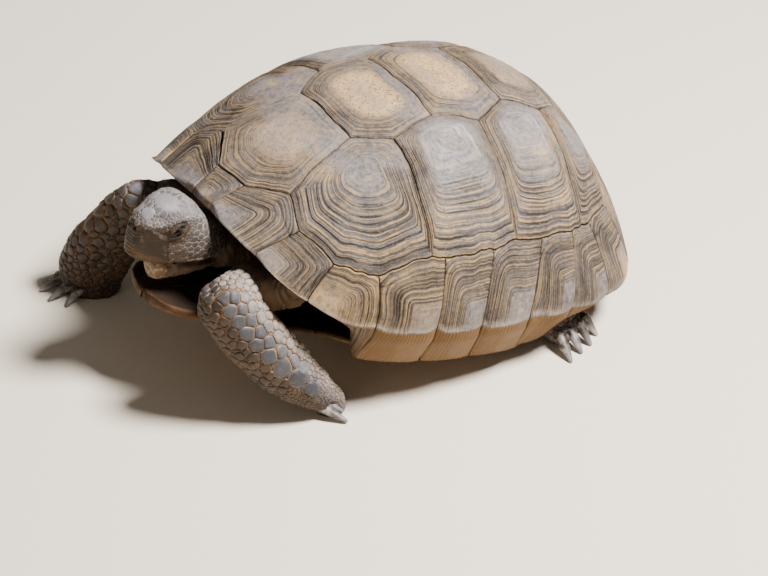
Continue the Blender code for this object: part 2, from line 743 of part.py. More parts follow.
def build_neck(cutter):
    neck = tube("neck", upright_rings(NECK_RINGS, NECK_SIDES), "skin", shell_matrix())
    boolean(neck, cutter, "DIFFERENCE")


# ---------------------------------------------------------------- limbs and tail


def claw(name, root, way, length):
    """A stout claw: a tapering cone that starts inside the foot and bends down to its tip."""
    way = Vector(way).normalized()
    stations = []
    steps = 2
    for k in range(steps + 1):
        share = k / steps
        run = -CLAW_ROOT + (length + CLAW_ROOT) * share
        sag = 1.2 * max(0.0, share - 0.4) ** CLAW_POWER
        centre = Vector(root) + way * run - Vector((0.0, 0.0, 1.0)) * sag
        radius = CLAW_RADIUS * (1.0 - 0.8 * share**1.6)
        stations.append((tuple(centre), radius * 1.1, radius * 0.85))
    across = way.cross(Vector((0.0, 0.0, 1.0)))
    return tube(name, path_rings(stations, across, CLAW_SIDES), "leg")


def limb(name, main, across, claws, cutter, floor, upper=None, upper_across=None):
    """A leg of one piece: its main length, its claws and its upper arm joined, cut at trunk and floor."""
    leg = tube(name, path_rings(main, across, LIMB_SIDES), "leg")
    if upper:
        arm = hide_helper(tube(f"{name}_upper", path_rings(upper, upper_across, LIMB_SIDES), "leg"))
        boolean(leg, arm, "UNION")
    for number, (root, way, length) in enumerate(claws, start=1):
        boolean(leg, hide_helper(claw(f"{name}_claw_{number}", root, way, length)), "UNION")
    boolean(leg, cutter, "DIFFERENCE")
    boolean(leg, floor, "DIFFERENCE")


def mirror_stations(stations):
    return [((-x, y, z), wide, thick) for (x, y, z), wide, thick in stations]


def mirror_claws(claws):
    return [((-x, y, z), (-u, v, w), length) for (x, y, z), (u, v, w), length in claws]


def build_limbs(cutter, floor):
    limb("foreleg_left", LEFT_FOREARM, LEFT_FOREARM_ACROSS, LEFT_FORE_CLAWS, cutter, floor,
         LEFT_UPPER_ARM, LEFT_UPPER_ACROSS)
    limb("foreleg_right", RIGHT_FOREARM, RIGHT_FOREARM_ACROSS, RIGHT_FORE_CLAWS, cutter, floor,
         RIGHT_UPPER_ARM, RIGHT_UPPER_ACROSS)
    limb("hindleg_left", LEFT_HIND_LEG, LEFT_HIND_ACROSS, LEFT_HIND_CLAWS, cutter, floor)
    across = (-LEFT_HIND_ACROSS[0], LEFT_HIND_ACROSS[1], LEFT_HIND_ACROSS[2])
    limb("hindleg_right", mirror_stations(LEFT_HIND_LEG), across, mirror_claws(LEFT_HIND_CLAWS),
         cutter, floor)
    tail = tube("tail", path_rings(TAIL, (1.0, 0.0, 0.0), TAIL_SIDES), "skin")
    boolean(tail, cutter, "DIFFERENCE")


def floor_cutter():
    """A block below the floor, which trims every sole to a flat at one level."""
    reach, depth = 400.0, 60.0
    points = [(x, y, z) for x in (-reach, reach) for y in (-reach, reach) for z in (-depth, 0.0)]
    faces = [(0, 1, 3, 2), (4, 6, 7, 5), (0, 4, 5, 1), (2, 3, 7, 6), (0, 2, 6, 4), (1, 5, 7, 3)]
    return hide_helper(make_object("floor_cutter", points, faces, "skin"))


def stand_on_origin():
    """Moves the whole animal so that the middle of its box stands over the origin."""
    bpy.context.view_layer.update()
    graph = bpy.context.evaluated_depsgraph_get()
    corners = []
    for thing in bpy.context.scene.objects:
        if thing.type != "MESH" or thing.hide_render:
            continue
        shape = thing.evaluated_get(graph)
        corners += [shape.matrix_world @ Vector(corner) for corner in shape.bound_box]
    low = [min(c[axis] for c in corners) for axis in range(3)]
    high = [max(c[axis] for c in corners) for axis in range(3)]
    root = bpy.data.objects.new("tortoise", None)
    bpy.context.scene.collection.objects.link(root)
    for thing in list(bpy.context.scene.objects):
        if thing is not root:
            thing.parent = root
    root.location = (-(low[0] + high[0]) / 2.0, -(low[1] + high[1]) / 2.0, -low[2])


def main():
    for thing in list(bpy.data.objects):
        bpy.data.objects.remove(thing, do_unlink=True)
    build_vertebrals()
    build_costals()
    build_marginals()
    build_plastron()
    trunk_mesh("trunk", TRUNK_CLEARANCE)
    cutter = hide_helper(trunk_mesh("trunk_cutter", TRUNK_CLEARANCE - 0.5))
    build_head()
    build_neck(cutter)
    build_limbs(cutter, floor_cutter())
    stand_on_origin()


main()
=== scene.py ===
"""A desert tortoise at life size: ringed horny plates, scaled skin, claws and eyes.

Lengths inside the helpers are in millimetres; a piece is moved into metres as it is made. The
animal looks along -Y, its left is +X, and the floor is z = 0.
"""

import itertools
import math

import bmesh
import bpy
import numpy as np
from mathutils import Matrix, Vector
from mathutils.bvhtree import BVHTree
from mathutils.kdtree import KDTree


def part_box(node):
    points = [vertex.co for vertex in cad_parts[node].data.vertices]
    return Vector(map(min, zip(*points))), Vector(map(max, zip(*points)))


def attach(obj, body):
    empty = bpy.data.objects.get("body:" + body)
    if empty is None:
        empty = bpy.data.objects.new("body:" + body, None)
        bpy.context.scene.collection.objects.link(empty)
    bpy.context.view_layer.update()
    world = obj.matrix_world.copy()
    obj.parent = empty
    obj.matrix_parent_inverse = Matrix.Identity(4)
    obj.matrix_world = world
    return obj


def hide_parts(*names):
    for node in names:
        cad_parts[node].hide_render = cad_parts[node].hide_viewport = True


bl_info = {
    "name": "Desert Tortoise",
    "version": (1, 0, 0),
    "blender": (4, 5, 0),
    "location": "3D View > Sidebar > Tortoise",
    "description": "A life-size desert tortoise with ringed plates, scaled skin, claws and eyes",
    "category": "Object",
}

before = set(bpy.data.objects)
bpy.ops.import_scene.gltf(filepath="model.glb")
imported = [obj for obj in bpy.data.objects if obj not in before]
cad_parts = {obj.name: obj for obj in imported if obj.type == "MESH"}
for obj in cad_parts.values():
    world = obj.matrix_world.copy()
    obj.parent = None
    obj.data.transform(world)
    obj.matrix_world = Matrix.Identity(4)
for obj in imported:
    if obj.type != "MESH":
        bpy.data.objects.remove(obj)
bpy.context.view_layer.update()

MM = 0.001
SIDES = (("left", 1), ("right", -1))

# The first seed of each family of pieces.
SEEDS = {
    "vertebral": 20, "costal_left": 30, "costal_right": 40, "marginal_left": 60,
    "rim_ends": 75, "marginal_right": 80, "plastron_left": 90, "plastron_right": 96,
    "leg_places": 500, "leg_coat": 520, "head_places": 540, "head_coat": 541,
}

# ---------------------------------------------------------------- the shell's measures

SHELL_PITCH = math.radians(11.1)
SHELL_LIFT = 17
HALF_WIDTH, WIDEST_Y = 112.2, 37
FRONT_LENGTH, REAR_LENGTH = 166.4, 103
FRONT_POWER, REAR_POWER = 2.62, 3.5
FLARE, FLARE_ANGLE, FLARE_SPREAD = 2.5, 33, 13
RIM_Z, RIM_REFERENCE = 30.3, 140
BRIM_RISE, BRIM_POWER = 54, 3.4
TAIL_RISE, TAIL_POWER = 5.7, 2.5
CROWN_Z, DOME_POWER = 130.9, 2.4
SIDE_FULLNESS, FRONT_FULLNESS, REAR_FULLNESS = 0.689, 1.17, 0.595
FRONT_CORNER_FULLNESS, REAR_CORNER_FULLNESS = -0.324, 0.249
PLATE_THICKNESS, HALF_GROOVE, RIM_LIP = 4, 0.2, 2.6
FREE_IN, FREE_UP = 20, 6
BRIDGE_IN, BRIDGE_UP = 13, -26
BRIDGE_START, BRIDGE_END = 50, 104
BRIDGE_RISE, BRIDGE_FALL = 8, 14

CORNER = {
    "nuchal_in": (11.9, -109),
    "v1_m_c1": (34.4, -94.2),
    "v1_v2": (25.9, -51.6),
    "v2_c1_c2": (39, -31.3),
    "v2_v3": (32.4, -3.1),
    "v3_c2_c3": (43.5, 22),
    "v3_v4": (30.9, 45.7),
    "v4_c3_c4": (37.1, 71.6),
    "v4_v5": (26.6, 93),
    "v5_c4_m": (46.2, 113),
    "c1_c2_m": (94.4, -34.2),
    "c2_c3_m": (96, 24.4),
    "c3_c4_m": (91.6, 74),
}
SEAMS = (
    ((11.9, -109), 1.7),
    ((54.1, -98), 19.3),
    ((75.6, -86.7), 37.9),
    ((89.9, -64.3), 58.4),
    ((97, -26.1), 72.7),
    ((97.8, 8.1), 82),
    ((97, 42.8), 89.7),
    ((94, 65.4), 96),
    ((90.4, 81.6), 112),
    ((78, 101.5), 138),
    ((46.2, 113), 158),
    ((17, 118), 174.6),
)
BENDS = {1: "v1_m_c1", 4: "c1_c2_m", 6: "c2_c3_m", 8: "c3_c4_m"}

PLASTRON_OUTLINE = (
    (-152.5, 6), (-150.5, 13), (-147, 20.5), (-140.5, 26.5), (-131, 31), (-106, 42),
    (-80, 52), (-66, 60), (-56, 70), (-46, 86), (-34, 91), (-15, 94), (10, 95.5),
    (30, 96), (46, 94), (53, 76), (60, 61), (80, 56), (98, 46), (110, 32),
    (118, 17),
)
PLASTRON_PLATES = (
    ("gular", -152.5, -121),
    ("humeral", -121, -72),
    ("pectoral", -72, -44),
    ("abdominal", -44, 40),
    ("femoral", 40, 88),
    ("anal", 88, 118),
)
PLASTRON_Z, EDGE_CURL = 3, 1.5
PLASTRON_FRONT_RISE, PLASTRON_REAR_RISE = 8, 6
PLASTRON_THICKNESS, GULAR_THICKNESS = 5, 6.5
ANAL_NOTCH = 12

EYE_CENTRE = (11.6, -147.6, 61.2)

# How far the horn lies in from the solid under it, and how often an outline is smoothed into a
# growth ring's.
HORN_TUCK, SOFT_PASSES = 0.25, 40
# Growth rings, as shares of the way out from the old middle: how far apart they are, how wide a
# groove is, and where the old middle ends.
DOME_RINGS, DOME_GROOVE, DOME_OLD = 0.034, 0.0085, 0.3
RIM_RINGS, RIM_GROOVE, RIM_OLD = 0.042, 0.014, 0.1
PLASTRON_RINGS, PLASTRON_GROOVE, PLASTRON_OLD = 0.06, 0.014, 0.3
# The way a costal plate grows, outwards and forwards, and how strong the painted sheen is on each
# of the four.
COSTAL_GROWTH = (0.87, -0.49)
COSTAL_PAINTED_SHEEN = (0, 0.85, 0.5, 0.3)

# Where each dome plate's smooth old middle lies, as shares of its plan box from the inner and the
# front edge, how large it is in the same two directions, and how much of its rings is left unworn.
MIDDLES = {
    "vertebral_1": ((0.5, 0.6), (0.46, 0.4), 0.5),
    "vertebral_2": ((0.5, 0.58), (0.5, 0.46), 0.55),
    "vertebral_3": ((0.5, 0.55), (0.5, 0.5), 0.55),
    "vertebral_4": ((0.5, 0.52), (0.46, 0.46), 0.8),
    "vertebral_5": ((0.5, 0.4), (0.4, 0.4), 0.9),
    "costal_1": ((0.3, 0.66), (0.26, 0.26), 1),
    "costal_2": ((0.2, 0.52), (0.4, 0.58), 0.9),
    "costal_3": ((0.22, 0.52), (0.42, 0.56), 0.9),
    "costal_4": ((0.28, 0.45), (0.38, 0.46), 0.9),
}


# ---------------------------------------------------------------- sizes and colours

# Colours that the settings don't hold.
SHADE = {
    # Dark brown for the free rim's underside, a painted shade.
    "rim_underside_painted_shade": (0.125, 0.07, 0.034),
    "bridge_pale": (0.145, 0.078, 0.024),
    "pit": (0.085, 0.055, 0.034),
    "sand": (0.48, 0.31, 0.155),
    "clay": (0.24, 0.19, 0.15),
    # Colour of the painted sheen, a painted highlight on the costals.
    "painted_sheen_colour": (0.38, 0.365, 0.38),
    # The gular's top and its edge, darkened as painted shade.
    "gular_top_painted_shade_black": (0.011, 0.006, 0.004),
    "gular_top_painted_shade_brown": (0.024, 0.012, 0.006),
    "gular_edge_partly_painted_shade": (0.07, 0.032, 0.012),
    "belly_ring": (0.17, 0.11, 0.06),
    "hide": (0.11, 0.064, 0.032),
    "fold_pale": (0.17, 0.104, 0.05),
    "fold_dark": (0.105, 0.062, 0.03),
    "net": (0.12, 0.066, 0.032),
    "skull_dark": (0.07, 0.045, 0.027),
    "skull_pale": (0.135, 0.088, 0.05),
    "skull_edge": (0.19, 0.135, 0.082),
    # Pale for the cheek's lower edge, a painted highlight.
    "cheek_line_painted_highlight": (0.56, 0.5, 0.43),
    "lid": (0.05, 0.03, 0.016),
    "lid_dark": (0.026, 0.017, 0.012),
    # Near black for the eye's socket, painted shade.
    "socket": (0.006, 0.004, 0.003),
    "beak_streak": (0.014, 0.008, 0.004),
    "beak_dust": (0.06, 0.038, 0.018),
    "chin": (0.28, 0.195, 0.105),
    "chin_dark": (0.135, 0.08, 0.036),
    # Near black for the mouth's groove, painted shade.
    "mouth": (0.02, 0.012, 0.008),
    "umber_pale_and_shade": (0.05, 0.027, 0.011),
    "scale_grey": (0.14, 0.125, 0.13),
    "lilac": (0.245, 0.24, 0.275),
    "scale_edge": (0.33, 0.245, 0.17),
    "scale_ring": (0.05, 0.038, 0.034),
    "scale_dust": (0.33, 0.255, 0.175),
    # Dark browns for the head's plates below the brow, partly their own colour and partly painted
    # shade.
    "plate_dark_and_shade": (0.045, 0.03, 0.018),
    "plate_brown_and_shade": (0.1, 0.064, 0.036),
    "plate_blue": (0.205, 0.198, 0.222),
    "plate_cloud": (0.11, 0.098, 0.1),
    "plate_fleck": (0.27, 0.25, 0.245),
    "plate_bead": (0.045, 0.036, 0.038),
    "plate_edge": (0.23, 0.155, 0.085),
    "claw_pale": (0.42, 0.385, 0.36),
    "claw_stain": (0.12, 0.085, 0.06),
    "iris_ray": (0.03, 0.018, 0.009),
    "pupil": (0.003, 0.002, 0.002),
    "eye_edge": (0.014, 0.01, 0.008),
    "floor_cloud": (0.74, 0.68, 0.6),
}


def length(name, description, default):
    return bpy.props.FloatProperty(
        name=name, description=description, default=default, unit="LENGTH", precision=5
    )


def share(name, description, default):
    return bpy.props.FloatProperty(
        name=name, description=description, default=default, min=0, max=1, subtype="FACTOR"
    )


def colour(name, description, default):
    return bpy.props.FloatVectorProperty(
        name=name, description=description, default=default, size=3, min=0, max=1, subtype="COLOR"
    )


class TortoiseShellSettings(bpy.types.PropertyGroup):
    ring_depth: length("Ring depth", "Depth of the deepest growth rings", 0.0008)
    half_seam: length("Half seam", "Half the gap between two plates, seen from above", 0.00008)
    edge_fall: length("Edge fall", "How far a plate falls away towards its seams", 0.0009)
    seam_round: length("Seam rounding", "Width of the rounding beside a seam", 0.0011)
    spacing: length("Point spacing", "Spacing of a plate's points along its outline", 0.0016)
    grey: colour("Grey", "Weathered horn", (0.1, 0.086, 0.082))
    blue: colour("Blue grey", "Smooth worn horn", (0.17, 0.16, 0.182))
    ochre: colour("Ochre", "Dust and pale growth rings", (0.42, 0.275, 0.13))
    brown: colour("Brown", "Dark horn in the grooves", (0.018, 0.012, 0.009))
    pale: colour("Pale rim", "Worn edge of the rim", (0.43, 0.4, 0.37))
    tan: colour("Tan", "Horn of the bridge and plastron", (0.128, 0.058, 0.007))


class TortoiseSkinSettings(bpy.types.PropertyGroup):
    grain: length("Grain", "Size of the blank skin's faces before the head is refined", 0.0013)
    leg_coat: length("Leg coat", "Depth that the scales of the legs stand over the skin", 0.0009)
    head_coat: length("Head coat", "Depth that the plates of the head stand over the skin", 0.00032)
    brown: colour("Brown", "Bare skin in the folds", (0.06, 0.038, 0.024))
    ochre: colour("Ochre", "Skin between the scales", (0.105, 0.055, 0.024))
    pale: colour("Pale", "Skin between the plates of the head", (0.37, 0.33, 0.29))
    # The beak's near-black horn: partly its own dark colour, partly painted shade.
    beak: colour("Beak", "Horn of the beak", (0.02, 0.01, 0.004))
    edge: colour("Beak edge", "Worn cutting edge of the beak", (0.13, 0.064, 0.017))


class TortoiseScaleSettings(bpy.types.PropertyGroup):
    gap: length("Gap", "Skin left bare between two scales", 0.0003)
    relief: length("Relief", "Height of a large scale over the skin", 0.001)
    slate: colour("Slate", "Large horny scales", (0.025, 0.028, 0.038))
    # Dark brown of the legs' inner sides, the upper arm behind the elbow and the claws' roots:
    # partly real colour, partly painted shade.
    umber_and_shade: colour("Umber", "Dark scales in the shelter of the legs", (0.022, 0.013, 0.008))
    dust: colour("Dust", "Dusty pale scales", (0.41, 0.35, 0.3))
    crown: colour("Crown", "Plates of the head", (0.15, 0.138, 0.15))
    claw: colour("Claw", "Horn of the claws", (0.135, 0.125, 0.13))
    iris: colour("Iris", "The eye's coloured ring", (0.02, 0.012, 0.006))


class TortoiseStageSettings(bpy.types.PropertyGroup):
    floor: colour("Floor", "Colour of the plain floor", (0.7, 0.63, 0.54))
    key: bpy.props.FloatProperty(name="Key", description="Main light", default=95, unit="POWER")
    fill: bpy.props.FloatProperty(name="Fill", description="Fill light", default=3, unit="POWER")
    sky: share("Sky", "Strength of the pale surroundings", 0.17)


def settings(name):
    return getattr(bpy.context.scene, "tortoise_" + name)


# ---------------------------------------------------------------- the shell as a surface


def shell_matrix():
    """The tipped and lifted shell's place, with the step that stands the animal on the origin."""
    tipped = Matrix.Translation((0, 0, SHELL_LIFT)) @ Matrix.Rotation(-SHELL_PITCH, 4, "X")
    low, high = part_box("eye_left")
    shift = (low + high) / (2 * MM) - tipped @ Vector(EYE_CENTRE)
    return Matrix.Translation(shift) @ tipped


def ground_matrix():
    """The step from the standing animal's own millimetres to the origin."""
    tipped = Matrix.Translation((0, 0, SHELL_LIFT)) @ Matrix.Rotation(-SHELL_PITCH, 4, "X")
    return shell_matrix() @ tipped.inverted()


def rim_height(y):
    rise = np.where(y < 0, BRIM_RISE, TAIL_RISE)
    power = np.where(y < 0, BRIM_POWER, TAIL_POWER)
    return RIM_Z + rise * (np.abs(y) / RIM_REFERENCE) ** power


def rim_point(angle):
    """The rim at an angle in degrees from the front, round the animal's left side."""
    s, c = math.sin(math.radians(angle)), math.cos(math.radians(angle))
    power = FRONT_POWER if c > 0 else REAR_POWER
    reach = FRONT_LENGTH if c > 0 else REAR_LENGTH
    x = HALF_WIDTH * math.copysign(abs(s) ** (2 / power), s)
    y = WIDEST_Y - reach * math.copysign(abs(c) ** (2 / power), c)
    flare = FLARE * math.exp(-(((abs(angle) - FLARE_ANGLE) / FLARE_SPREAD) ** 2))
    return np.array((x + flare * s, y - flare * c))


def dome_height(x, y):
    """Height of the shell's outer surface over (x, y)."""
    power = np.where(y < WIDEST_Y, FRONT_POWER, REAR_POWER)
    half_length = np.where(y < WIDEST_Y, FRONT_LENGTH, REAR_LENGTH)
    ratio = np.abs(x / HALF_WIDTH) ** power + np.abs((y - WIDEST_Y) / half_length) ** power
    rho = np.clip(ratio ** (1 / power), 1e-6, 1)
    rim_x, rim_y = x / rho, WIDEST_Y + (y - WIDEST_Y) / rho
    reach = np.maximum(np.hypot(rim_x, WIDEST_Y - rim_y), 1e-6)
    ahead, aside = (WIDEST_Y - rim_y) / reach, np.abs(rim_x) / reach
    front, rear = np.clip(ahead, 0, 1), np.clip(-ahead, 0, 1)
    fullness = (
        SIDE_FULLNESS
        + (FRONT_FULLNESS - SIDE_FULLNESS) * front**2
        + (REAR_FULLNESS - SIDE_FULLNESS) * rear**2
        + FRONT_CORNER_FULLNESS * (2 * front * aside) ** 2
        + REAR_CORNER_FULLNESS * (2 * rear * aside) ** 2
    )
    rim_z = rim_height(rim_y)
    return rim_z + (CROWN_Z - rim_z) * np.clip(1 - rho**DOME_POWER, 0, 1) ** fullness


def dome_points(plan, depth):
    """Points of the shell over an (n, 2) plan, each moved inwards by its depth."""
    x, y = plan[:, 0], plan[:, 1]
    step = 0.4
    toward = 1 - step / np.maximum(np.hypot(x, y - WIDEST_Y), step)
    inner_x, inner_y = x * toward, WIDEST_Y + (y - WIDEST_Y) * toward
    slope_x = dome_height(inner_x + step, inner_y) - dome_height(inner_x - step, inner_y)
    slope_y = dome_height(inner_x, inner_y + step) - dome_height(inner_x, inner_y - step)
    slope_x, slope_y = slope_x / (2 * step), slope_y / (2 * step)
    normal = np.stack([-slope_x, -slope_y, np.ones_like(x)], axis=1)
    normal /= np.linalg.norm(normal, axis=1)[:, None]
    surface = np.stack([x, y, dome_height(x, y)], axis=1)
    return surface - np.reshape(depth, (-1, 1)) * normal


def ramp(low, high, value):
    """0 below low, 1 above high, with a soft step between; low may also be the greater."""
    t = np.clip((value - low) / (high - low), 0, 1)
    return t * t * (3 - 2 * t)


def waves(points, size, seed):
    """Soft noise between -1 and 1 over points, from seeded sines of about this wavelength."""
    rng = np.random.default_rng(seed)
    points = np.asarray(points, float)
    total = np.zeros(len(points))
    for _ in range(7):
        way = rng.normal(size=points.shape[1])
        way *= 2 * math.pi / (size * rng.uniform(0.7, 1.6) * np.linalg.norm(way))
        total += np.sin(points @ way + rng.uniform(0, 2 * math.pi))
    return np.clip(total / 3.2, -1, 1)


def wander(plan):
    """Moves a seam a little off its straight line, alike for the plates on both of its sides."""
    plan = np.asarray(plan, float)
    held = np.minimum(np.abs(plan[:, 0]) / 12, 1)
    shift_x = waves(plan, 26, 11) * 0.7 + waves(plan, 9, 12) * 0.25
    shift_y = waves(plan, 26, 13) * 0.7 + waves(plan, 9, 14) * 0.25
    return plan + np.stack([shift_x * held, shift_y], axis=1)


def inset(corners, distance):
    """A polygon's corners moved in by a distance from both of their edges."""
    corners = [np.array(c, float) for c in corners]
    area = sum(a[0] * b[1] - b[0] * a[1] for a, b in zip(corners, corners[1:] + corners[:1]))
    side = 1 if area > 0 else -1
    moved = []
    for k, here in enumerate(corners):
        before, after = corners[k - 1], corners[(k + 1) % len(corners)]
        u, v = here - before, after - here
        u, v = u / np.linalg.norm(u), v / np.linalg.norm(v)
        inner_u, inner_v = side * np.array((-u[1], u[0])), side * np.array((-v[1], v[0]))
        moved.append(here + distance * (inner_u + inner_v) / (1 + inner_u.dot(inner_v)))
    return moved


def sampled(corners, spacing):
    """Points along a closed polygon, its corners among them, about this far apart."""
    points = []
    for a, b in zip(corners, corners[1:] + corners[:1]):
        count = max(1, round(np.linalg.norm(b - a) / spacing))
        points += [a + (b - a) * k / count for k in range(count)]
    return np.array(points)


# ---------------------------------------------------------------- meshes


def mesh_of(body, name):
    """A mesh made from the bmesh, which is freed."""
    mesh = bpy.data.meshes.new(name)
    body.to_mesh(mesh)
    body.free()
    return mesh


def placed(name, data):
    """A new object in the scene that holds this mesh, light or camera."""
    thing = bpy.data.objects.new(name, data)
    bpy.context.scene.collection.objects.link(thing)
    return thing


def vertex_array(mesh, key="co", kind=None):
    values = np.empty(len(mesh.vertices) * 3, np.float32)
    (kind or mesh.vertices).foreach_get(key, values)
    return values.reshape(-1, 3).astype(float)


def set_points(mesh, points):
    mesh.vertices.foreach_set("co", points.astype(np.float32).ravel())


def set_facts(mesh, facts):
    """Gives the mesh numbers at its points, for its material to read."""
    for key, values in facts.items():
        layer = mesh.attributes.new(key, "FLOAT", "POINT")
        layer.data.foreach_set("value", np.asarray(values, np.float32).ravel())


def moved_by(matrix, points):
    m = np.array(matrix)
    return points @ m[:3, :3].T + m[:3, 3]


def evaluated(thing, name):
    """The thing's mesh with its modifiers applied, as a new mesh; the thing itself is removed."""
    graph = bpy.context.evaluated_depsgraph_get()
    mesh = bpy.data.meshes.new_from_object(thing.evaluated_get(graph))
    mesh.name = name
    old = thing.data
    bpy.data.objects.remove(thing)
    bpy.data.meshes.remove(old)
    return mesh


def grid_piece(places, facts, wrap_u=True, wrap_v=False):
    """A closed mesh from a grid of places (rows, columns, 3) in millimetres.

    facts holds one (rows, columns) array per attribute. wrap_u joins the last column to the first,
    wrap_v the last row to the first; what stays open is filled.
    """
    if wrap_u:
        places = np.concatenate([places, places[:, :1]], axis=1)
        facts = {key: np.concatenate([v, v[:, :1]], axis=1) for key, v in facts.items()}
    if wrap_v:
        places = np.concatenate([places, places[:1]], axis=0)
        facts = {key: np.concatenate([v, v[:1]], axis=0) for key, v in facts.items()}
    rows, columns = places.shape[:2]
    body = bmesh.new()
    bmesh.ops.create_grid(body, x_segments=columns - 1, y_segments=rows - 1, size=1)
    mesh = mesh_of(body, "sheet")
    flat = vertex_array(mesh)
    column = np.rint((flat[:, 0] + 1) / 2 * (columns - 1)).astype(int)
    row = np.rint((flat[:, 1] + 1) / 2 * (rows - 1)).astype(int)
    set_points(mesh, places[row, column])
    set_facts(mesh, {key: values[row, column] for key, values in facts.items()})
    body = bmesh.new()
    body.from_mesh(mesh)
    bpy.data.meshes.remove(mesh)
    bmesh.ops.remove_doubles(body, verts=body.verts, dist=1e-4)
    open_edges = [edge for edge in body.edges if edge.is_boundary]
    if open_edges:
        filled = bmesh.ops.holes_fill(body, edges=open_edges, sides=0)
        bmesh.ops.triangulate(body, faces=filled["faces"])
    return body


def finish_piece(body, name, matrix, material, replaced=()):
    """Turns a bmesh in millimetres into a smooth piece in metres that rides on the frame."""
    bmesh.ops.recalc_face_normals(body, faces=body.faces)
    if body.calc_volume(signed=True) < 0:
        bmesh.ops.reverse_faces(body, faces=body.faces)
    body.transform(Matrix.Scale(MM, 4) @ matrix)
    mesh = mesh_of(body, name)
    mesh.shade_smooth()
    mesh.materials.append(material)
    piece = placed(name, mesh)
    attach(piece, "root")
    if replaced:
        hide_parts(*replaced)
    return piece


# ---------------------------------------------------------------- materials


class Value:
    """One output of a node, which adds, multiplies and compares as a number does."""

    def __init__(self, finish, socket):
        self.finish, self.socket = finish, socket

    def _math(self, operation, *inputs, clamp=False):
        options = {"operation": operation, "use_clamp": clamp}
        return self.finish.node("ShaderNodeMath", options, dict(enumerate(inputs)))

    def __add__(self, other):
        return self._math("ADD", self, other)

    def __sub__(self, other):
        return self._math("SUBTRACT", self, other)

    def __mul__(self, other):
        return self._math("MULTIPLY", self, other)

    def __radd__(self, other):
        return self._math("ADD", other, self)

    def __rsub__(self, other):
        return self._math("SUBTRACT", other, self)

    def clamp(self):
        return self._math("ADD", self, 0, clamp=True)

    def above(self, low, high):
        """0 below low, 1 above high, with a soft step between."""
        inputs = {"Value": self, "From Min": low, "From Max": high}
        return self.finish.node("ShaderNodeMapRange", {"interpolation_type": "SMOOTHSTEP"}, inputs)


class Finish:
    """A material being made: one Principled shader and the nodes that feed it."""

    def __init__(self, name, roughness=0.6, specular=0.35):
        self.material = bpy.data.materials.new(name)
        self.material.use_nodes = True
        self.tree = self.material.node_tree
        self.shader = self.tree.nodes["Principled BSDF"]
        self.shader.inputs["Roughness"].default_value = roughness
        self.shader.inputs["Specular IOR Level"].default_value = specular
        self.place = self.node("ShaderNodeTexCoord", {}, {}, "Object")

    def node(self, kind, options, inputs, output=0):
        """Adds a node with these options and inputs, and gives one of its outputs."""
        made = self.tree.nodes.new(kind)
        for key, value in options.items():
            setattr(made, key, value)
        for key, value in inputs.items():
            self.feed(made.inputs[key], value)
        return Value(self, made.outputs[output])

    def feed(self, target, value):
        if isinstance(value, Value):
            self.tree.links.new(value.socket, target)
        elif isinstance(value, (tuple, list)) or hasattr(value, "r"):
            value = tuple(value)
            if len(target.default_value) > len(value):
                value = (*value, 1)
            target.default_value = value
        else:
            target.default_value = value

    def noise(self, scale, detail=3, roughness=0.55):
        """Cloudy noise over the piece, with scale in lumps per metre."""
        inputs = {"Vector": self.place, "Scale": scale, "Detail": detail, "Roughness": roughness}
        return self.node("ShaderNodeTexNoise", {}, inputs)

    def line_noise(self, along, scale, detail=3, roughness=0.6):
        """Noise that changes along one value only."""
        inputs = {"W": along, "Scale": scale, "Detail": detail, "Roughness": roughness}
        return self.node("ShaderNodeTexNoise", {"noise_dimensions": "1D"}, inputs)

    def cells(self, scale):
        """Distance from scattered points, with scale in points per metre."""
        inputs = {"Vector": self.place, "Scale": scale}
        return self.node("ShaderNodeTexVoronoi", {}, inputs)

    def fact(self, name):
        """A number that the mesh carries at each point."""
        return self.node("ShaderNodeAttribute", {"attribute_name": name}, {}, "Fac")

    def facts(self, *names):
        return [self.fact(name) for name in names]

    def mix(self, share_, a, b):
        """From colour a at a share of 0 to colour b at 1."""
        return self.node("ShaderNodeMix", {"data_type": "RGBA"}, {0: share_, 6: a, 7: b}, 2)

    def over(self, base, colour_, share_):
        """The base with a share of another colour over it, the share held between 0 and 1."""
        return self.mix(share_.clamp(), base, colour_)

    def relief(self, height, depth, below=None):
        """A bump of this depth in metres, laid over the one below it."""
        inputs = {"Height": height, "Distance": depth}
        if below:
            inputs["Normal"] = below
        return self.node("ShaderNodeBump", {}, inputs)

    def done(self, colour_, roughness=None, normal=None):
        for name, value in (("Base Color", colour_), ("Roughness", roughness), ("Normal", normal)):
            if value is not None:
                self.feed(self.shader.inputs[name], value)
        return self.material


